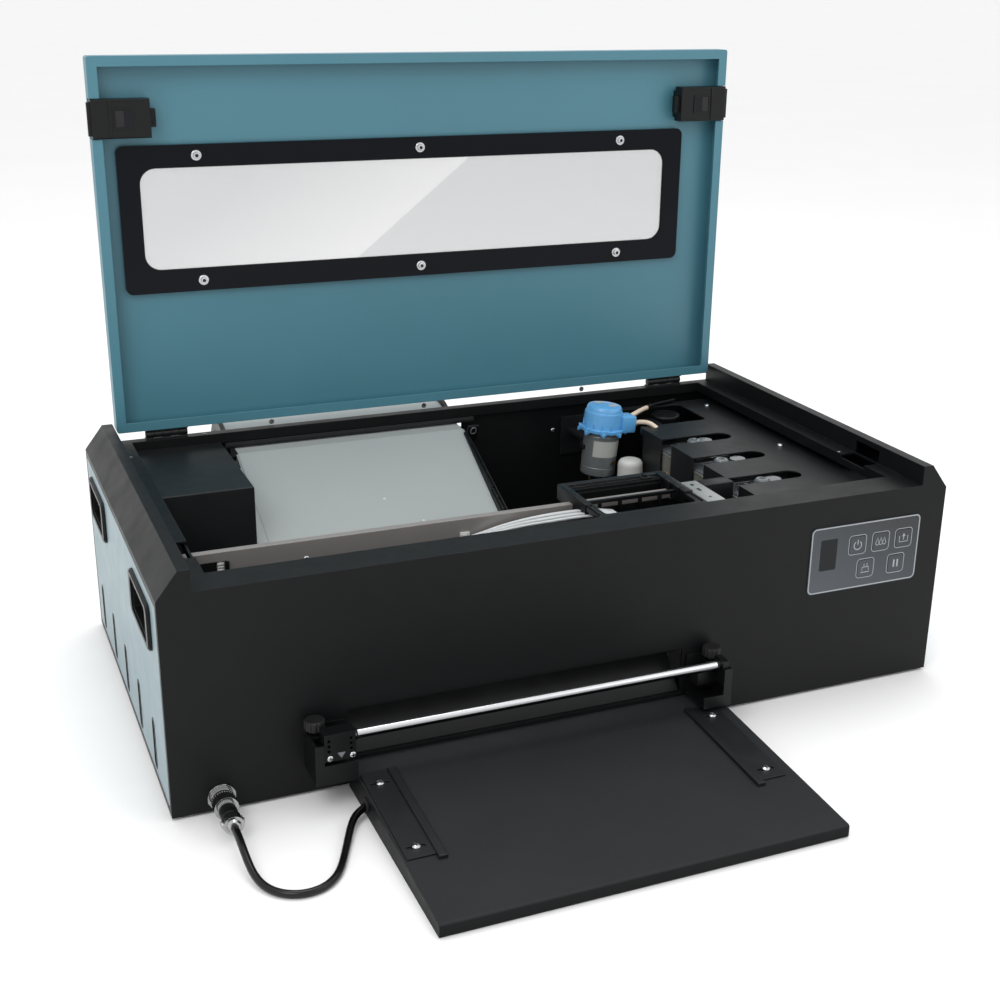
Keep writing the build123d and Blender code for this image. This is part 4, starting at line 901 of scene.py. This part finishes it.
def ink_tubes():
    """Tubes that leave the clip stacked and fan out flat towards the carriage."""
    ribbon = Shape()
    last = len(TUBE_ROUTE) - 1
    for k in range(TUBE_COUNT):
        route = []
        for i, (x, y, z) in enumerate(TUBE_ROUTE):
            spread = min(1, i / 4)
            stack = (1 - spread) * (TUBE_COUNT / 2 - k) * 0.35
            lift = 0.72 * sin(pi * i / last) * (k % 3 - 1)
            route.append((x + 3 * (1 - spread), y - spread * k * TUBE_PITCH + 0.2 * stack, z + stack + lift))
        ribbon.sweep(smooth_path(route), TUBE_R)
    tubes = ribbon.finish("ink_tube_ribbon", "tube", None, replaces="ink_tubes")
    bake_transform(tubes)


beam_details()
carriage_details()
ink_tubes()


# ---- pump
PUMP_PLACE = spot(515, 318, 163, spin("Y", radians(5)))
CAN_R = 18.3
LABEL_R = 18.42


def pump_details():
    """Stepped housing of the hose pump with snap tabs, skirt teeth and outlet box, and the motor under it."""
    head, ovals, can, label, ends, leads = (Shape() for _ in range(6))
    skirt = [(0, 0), (22.6, 0), (22.9, 0.4), (22.9, 3.2), (22.3, 3.6), (20.7, 3.8), (20.5, 4.6), (20, 19)]
    crown = [(19.6, 20.4), (18.9, 20.8), (18.7, 21.6), (18.3, 24.4), (17, 26.3), (13.8, 27.1), (5, 27.4)]
    head.lathe(skirt + crown + [(0, 27.5)], PUMP_PLACE, 72)
    head.box(14, 30.5, -17, 1, 0.4, 18, 1.6, PUMP_PLACE)
    head.box(24, 31, -15, -1, 3, 15, 1.2, PUMP_PLACE)
    for k in range(8):
        tab = PUMP_PLACE @ spin("Z", radians(22 + 45 * k))
        head.box(21, 24.8, -3.2, 3.2, -1.2, 4.8, 0.8, tab)
        head.box(22.8, 25.8, -1.4, 1.4, -2.6, 1.4, 0.6, tab)
    for k in range(14):
        head.box(19.8, 21.2, -0.6, 0.6, 3.6, 10, 0.3, PUMP_PLACE @ spin("Z", radians(11 + 360 / 14 * k)))
    head.finish("pump_housing", "pump", replaces="pump_head")
    for x, y, turn in ((-3, 8, 8), (6.5, -6, -4)):
        ovals.prism(polygon(5.2, 3, 24), 0.55, PUMP_PLACE @ shift(x, y, 27.2) @ spin("Z", radians(turn)))
    ovals.finish("pump_blank_ovals", "label")
    profile = [(0, -49), (4.8, -49), (5, -48.4), (5, -47), (17, -46.8), (18, -46.2), (CAN_R, -45.2)]
    for low, high in ((-38, -36.8), (-4.5, -3.1)):
        profile += [(CAN_R, low), (18, low + 0.3), (18, high - 0.3), (CAN_R, high)]
    can.lathe(profile + [(CAN_R, 0), (0, 0)], PUMP_PLACE, 72)
    can.finish("pump_motor_can", "motor", replaces="pump_motor")
    turns = [radians(a) for a in range(-140, -19, 5)]
    wrap = [(LABEL_R * cos(a), LABEL_R * sin(a)) for a in turns]
    inner = [(CAN_R * cos(a), CAN_R * sin(a)) for a in turns[::-1]]
    label.prism(wrap + inner, 17, PUMP_PLACE @ shift(0, 0, -25.5))
    label.finish("motor_blank_label", "label")
    for side in (-1, 1):
        ends.box(side * 9 - 0.5, side * 9 + 0.5, -2.2, 2.2, -54, -46, 0.2, PUMP_PLACE)
    for angle in (-60, 120):
        place = PUMP_PLACE @ spin("Z", radians(angle)) @ shift(18.1, 0, -32) @ TO_RIGHT @ spin("Z", pi / 2)
        ends.prism(rounded(9, 4.2, 1.8), 0.35, place)
    ends.finish("motor_terminals", "brass")
    for side in (-9, 9):
        start = Vector((511 + side, 318, 106))
        bends = [start + Vector((0.5, -1, -8)), start + Vector((4, 10, -30))]
        leads.sweep(smooth_path([start, *bends, (520, 360, 40)]), 1.1, 10)
    leads.finish("motor_leads", "cable")


def pump_hoses():
    """Two cream hoses with their collars, and the black coupler on the upper one."""
    hoses, collars, coupler = Shape(), Shape(), Shape()
    collar = [(0, 0), (3.4, 0), (3.4, 1.4), (3, 2), (2.9, 4.5), (0, 4.5)]
    upper = [(544, 316, 174), (551, 318, 175.5), (559, 322.5, 176.5), (568, 329, 176.5), (577, 336, 175.6)]
    lower = [
        (544, 306, 170), (549, 303.5, 171.4), (553.5, 298, 172.6), (557.5, 291.5, 172.4), (561.5, 284.5, 169),
    ]
    for route in (upper, lower):
        hoses.sweep(smooth_path(route), 2.4, 20)
        collars.lathe(collar, spot(*route[0], TO_RIGHT), 28)
    hoses.finish("cream_hoses", "hose", replaces="pump_hoses")
    coupler.sweep([(576, 335.2, 175.7), (580, 338.3, 175.2), (584, 341.4, 174.8)], 3.2, 20)
    tail = [(583, 340.6, 174.9), (596, 350, 173.8), (611, 357, 172.6), (624, 362, 172.2)]
    coupler.sweep(smooth_path(tail), 1.9)
    coupler.finish("hose_coupler", "plastic")
    collars.finish("hose_collars", "white")


pump_details()
pump_hoses()


# ---- ink bay
TANK_COUNT = 4
TANK_PITCH = 63.5
FIRST_TANK = 45.5
COIL_TURNS = 3
COIL_STEPS = 84


def tank_details():
    x0 = Limits("ink_bay_cover").x0
    plates, valves, caps, baffles = (Shape() for _ in range(4))
    for k in range(TANK_COUNT):
        y = FIRST_TANK + TANK_PITCH * k
        plates.box(x0 + 1.6, x0 + 2.9, y - 9.5, y + 9.5, 96, 156)
        plates.box(x0 + 1.4, x0 + 3, y - 9.5, y + 9.5, 154.5, 156.5)
        valve = [(0, 0), (3.2, 0), (3.2, 1.2), (2, 1.6), (2, 3.4), (1.4, 3.8), (0, 3.8)]
        valves.lathe(valve, spot(x0 + 1.6, y, 136, TO_LEFT), 24)
        valves.box(x0 + 0.2, x0 + 1.6, y - 4.5, y + 4.5, 120, 124, 0.4)
        cap = [(0, 0), (8, 0), (8.2, 0.4), (8.2, 3.4), (7.4, 4.4), (7, 7.2), (5.6, 8.4), (3, 8.6), (2.6, 7.6)]
        caps.lathe(cap + [(0, 7.4)], spot(572 + 6 * (k % 2), y, 161))
        for middle in (y - 5, y + 5):
            for i in range(3):
                x = 556 + 7 * i
                baffles.box(x, x + 1.2, middle - 3, middle + 3, 158, 164 + i % 2)
    plates.finish("tank_valve_plates", "grey_metal")
    valves.finish("tank_valves", "brass")
    caps.finish("tank_clear_caps", "clear")
    baffles.finish("tank_baffles", "clear")


def bay_details():
    """Screws and a folded corner on the bay cover, the coil of drain tube and the waste bottle."""
    cover = Limits("ink_bay_cover")
    screws("bay_screws", M4_SCREW, [spot(651, 336, cover.z1), spot(648, 187, cover.z1)])
    tank_details()
    coil, bottle, fold = Shape(), Shape(), Shape()
    path = []
    for i in range(COIL_STEPS + 1):
        done = i / COIL_STEPS
        a = 2 * pi * COIL_TURNS * done
        path.append((594 + 6.4 * done + 7.5 * cos(a), 47 + 0.07 * i, 166 + 8 * sin(a) * (1 + 0.08 * done)))
    coil.sweep(path, 0.95, 12)
    coil.finish("drain_tube_coil", "clear")
    profile = [(0, 4.5), (12, 4.5), (13, 6), (13, 133), (12.4, 136), (10.8, 138.2), (8, 139.4), (4.5, 139.8)]
    bottle.lathe(profile + [(0, 140)], spot(532, 284, 0), 56)
    bottle.finish("waste_bottle", "white")
    fold.box(cover.x0 - 0.4, cover.x0 + 2.2, 286.5, 291.5, cover.z1 - 8, cover.z1 - 1.6, 0.4)
    fold.finish("bay_corner_fold", "sheet")


def cap_details():
    cap = Limits("bottle_cap")
    rings = Shape()
    place = spot(cap.x, cap.y, cap.z1)
    for r in (4, 7.5, 11):
        rings.ring(arc(0, 0, r + 0.6, 0, 345, 23), arc(0, 0, r - 0.6, 0, 345, 23), 0.5, place)
    rings.finish("cap_rings", "plastic", "bottle_cap_body")


bay_details()
cap_details()


# ---- front bar and tray
def bar_details():
    """Screws, height mark and eyelets on the slider block, and the rings at the bar's ends."""
    front = Limits("bar_slider_blocks").y0
    places = [spot(x, front, 47, TO_FRONT) for x in (116.5, 134.5)]
    screws("slider_screws", SMALL_SCREW, places, "bar_sliders")
    mark, eyelets, rings = Shape(), Shape(), Shape()
    mark.prism([(-3.2, 2.2), (0, -2.6), (3.2, 2.2)], 0.2, spot(125.6, front, 48.5, TO_FRONT))
    mark.finish("bar_height_mark", "motor", "bar_sliders")
    for z in (61.7, 57.3, 52.9):
        for x in (116, 133.5):
            outer, inner = arc(0, 0, 1.9, 0, 337.5, 15), arc(0, 0, 1.3, 0, 337.5, 15)
            eyelets.ring(outer, inner, 0.35, spot(x, front, z, TO_FRONT))
    eyelets.finish("slider_eyelets", "plastic", "bar_sliders")
    bar = Limits("press_bar")
    for x in (138.8, 457.3):
        rings.lathe([(4.05, 0), (4.6, 0.1), (4.6, 1.3), (4.05, 1.4)], spot(x, bar.y, bar.z, TO_RIGHT), 32)
    rings.finish("bar_end_rings", "plastic", "press_bar_body")


TRAY = Limits("heated_tray")
TRAY_DROP = 12
ON_TRAY = spot(0, 0, TRAY.z1, spin("X", atan2(TRAY_DROP, TRAY.y1 - TRAY.y0)))


def tray_details():
    """Guide screws on the sloping tray, and the tabs and feet under its front edge."""
    places = [ON_TRAY @ shift(x, y, 1.4) for x in (153, 447) for y in (-40, -124)]
    screws("tray_screws", M4_SCREW, places)
    hem, feet = Shape(), Shape()
    for k in range(4):
        x = TRAY.x0 + 40 + 82 * k
        hem.box(x, x + 26, TRAY.y0 + 1.6, TRAY.y0 + 6, 0.4, 1.4)
    hem.finish("tray_hem_tabs", "tray")
    for x in (TRAY.x0 + 22, TRAY.x1 - 22):
        feet.lathe([(0, 0.05), (6.5, 0.05), (7, 0.5), (7, 3), (0, 3)], spot(x, TRAY.y0 + 18, 0), 32)
    feet.finish("tray_feet", "rubber")


bar_details()
tray_details()


# ---- controls
KEYS = {
    "power": (609, 139.5), "ink": (633.5, 139.5), "feed": (658, 139.5), "clean": (619.5, 116),
    "pause": (652, 116),
}
LINE = 0.12        # height of a printed line


def key_mark(shape, key, place):
    """Simple pictogram for each key."""
    if key == "power":
        shape.stroke(arc(0, -0.4, 3.9, 125, 415, 24), 0.9, LINE, place)
        shape.stroke([(0, 0.2), (0, 4.9)], 0.9, LINE, place)
    elif key == "ink":
        for dx in (-3.6, 0, 3.6):
            drop = [(dx, 3.8)] + arc(dx, -1.4, 1.7, 30, -210, 12)
            shape.stroke(drop, 0.6, LINE, place, closed=True)
    elif key == "feed":
        shape.stroke([(-4.5, 2), (-4.5, -3.6), (4.5, -3.6), (4.5, 2)], 0.7, LINE, place)
        shape.prism([(-1.8, 1.4), (1.8, 1.4), (0, 4.4)], LINE, place)
        shape.stroke([(0, -1.8), (0, 1.6)], 0.8, LINE, place)
    elif key == "clean":
        shape.stroke([(-4.6, -3.8), (4.6, -3.8)], 0.7, LINE, place)
        shape.stroke([(-3.4, -2.2), (-3.4, 1), (3.4, 1), (3.4, -2.2)], 0.7, LINE, place)
        for dx in (-1.6, 1.6):
            shape.stroke([(dx, 1.8), (dx, 4.2)], 0.7, LINE, place)
    else:
        for dx in (-1.9, 1.9):
            shape.prism(rounded(1.6, 7.2, 0.4, x=dx), LINE, place)


def control_details():
    sheet = Limits("control_overlay")
    width, height = sheet.x1 - sheet.x0, sheet.z1 - sheet.z0
    lines, screen = Shape(), Shape()
    outer, inner = rounded(width - 1, height - 1, 4.6), rounded(width - 3.2, height - 3.2, 3.6)
    lines.ring(outer, inner, LINE, spot(sheet.x, sheet.y0, sheet.z, TO_FRONT))
    for x, z in KEYS.values():
        lines.ring(rounded(18.6, 18.6, 3.4), rounded(17.4, 17.4, 2.8), LINE, spot(x, sheet.y0, z, TO_FRONT))
    lines.finish("control_outlines", "print")
    for key, (x, z) in KEYS.items():
        mark = Shape()
        key_mark(mark, key, spot(x, Limits("key_" + key).y0, z, TO_FRONT))
        mark.finish("mark_" + key, "print", "key_" + key + "_body", "gloss_black")
    screen.prism(rounded(17, 29, 1.2), 0.15, spot(579, sheet.y0, 134, TO_FRONT))
    screen.finish("display_window", "dark_face")


def socket_details():
    """Sleeve and clamp of the cable plug, and the nut face of the round panel socket."""
    plug = Limits("cable_plug")
    x, z, end = plug.x, plug.z, plug.y0
    sleeve, clamp, nut = Shape(), Shape(), Shape()
    sleeve.lathe([(6.62, 0), (6.9, 0.4), (6.9, 11.6), (6.62, 12)], spot(x, -35.5, z, TO_BACK), 48)
    sleeve.finish("plug_sleeve", "plastic")
    for middle in (x - 6.4, x + 6.4):
        clamp.box(middle - 1.4, middle + 1.4, end + 0.6, end + 8.4, z - 3, z + 3, 0.6)
    clamp.copies(SMALL_SCREW, [spot(x - 7.6, end + 4.5, z, TO_LEFT), spot(x + 7.6, end + 4.5, z, TO_RIGHT)])
    clamp.lathe([(3.05, 0), (4.4, 0.2), (5.6, 2.6), (3.05, 2.6)], spot(x, end - 2.6, z, TO_BACK), 36)
    clamp.finish("plug_clamp", "chrome")
    face = spot(x, -3.2, z, TO_FRONT)
    nut.lathe([(8.7, 0), (10.4, 0), (10.9, 0.4), (10.9, 0.9), (8.7, 0.9)], face, 48)
    for k in range(6):
        nut.box(9.6, 11.2, -1.5, 1.5, 0, 0.8, 0.3, face @ spin("Z", k * pi / 3 + 0.3))
    nut.finish("socket_nut_face", "chrome")


control_details()
socket_details()


# ---- light and floor, in the frame's metres
def area_light(name, place, target, size, power):
    data = bpy.data.lights.new(name, "AREA")
    data.shape = "DISK"
    data.size = size
    data.energy = power
    light = add(name, data)
    light.location = place
    light.rotation_euler = (Vector(target) - Vector(place)).to_track_quat("-Z", "Y").to_euler()


def studio():
    area_light("key_light", (-1.3, -1.2, 1.9), (0, 0, 0.15), 1.2, 14)
    area_light("fill_light", (1.6, -1.6, 1.3), (0, 0, 0.15), 1.8, 6)
    area_light("top_light", (0.1, 0.5, 2.4), (0, 0, 0.1), 1.4, 16)
    world = bpy.data.worlds.new("studio")
    world.use_nodes = True
    background = world.node_tree.nodes["Background"]
    background.inputs["Color"].default_value = (1, 1, 1, 1)
    bpy.context.scene.world = world
    bpy.context.scene.view_settings.view_transform = "Standard"


def floor():
    p = Paint("pale_floor")
    p.fill(p.shader, Base_Color=p.mix(p.noise(2), rgb(244, 244, 244), rgb(248, 248, 248)), Roughness=0.7)
    bm = bmesh.new()
    bmesh.ops.create_grid(bm, x_segments=8, y_segments=8, size=90)
    mesh = bpy.data.meshes.new("floor")
    bm.to_mesh(mesh)
    bm.free()
    mesh.materials.append(p.material)
    add("floor", mesh)


studio()
floor()
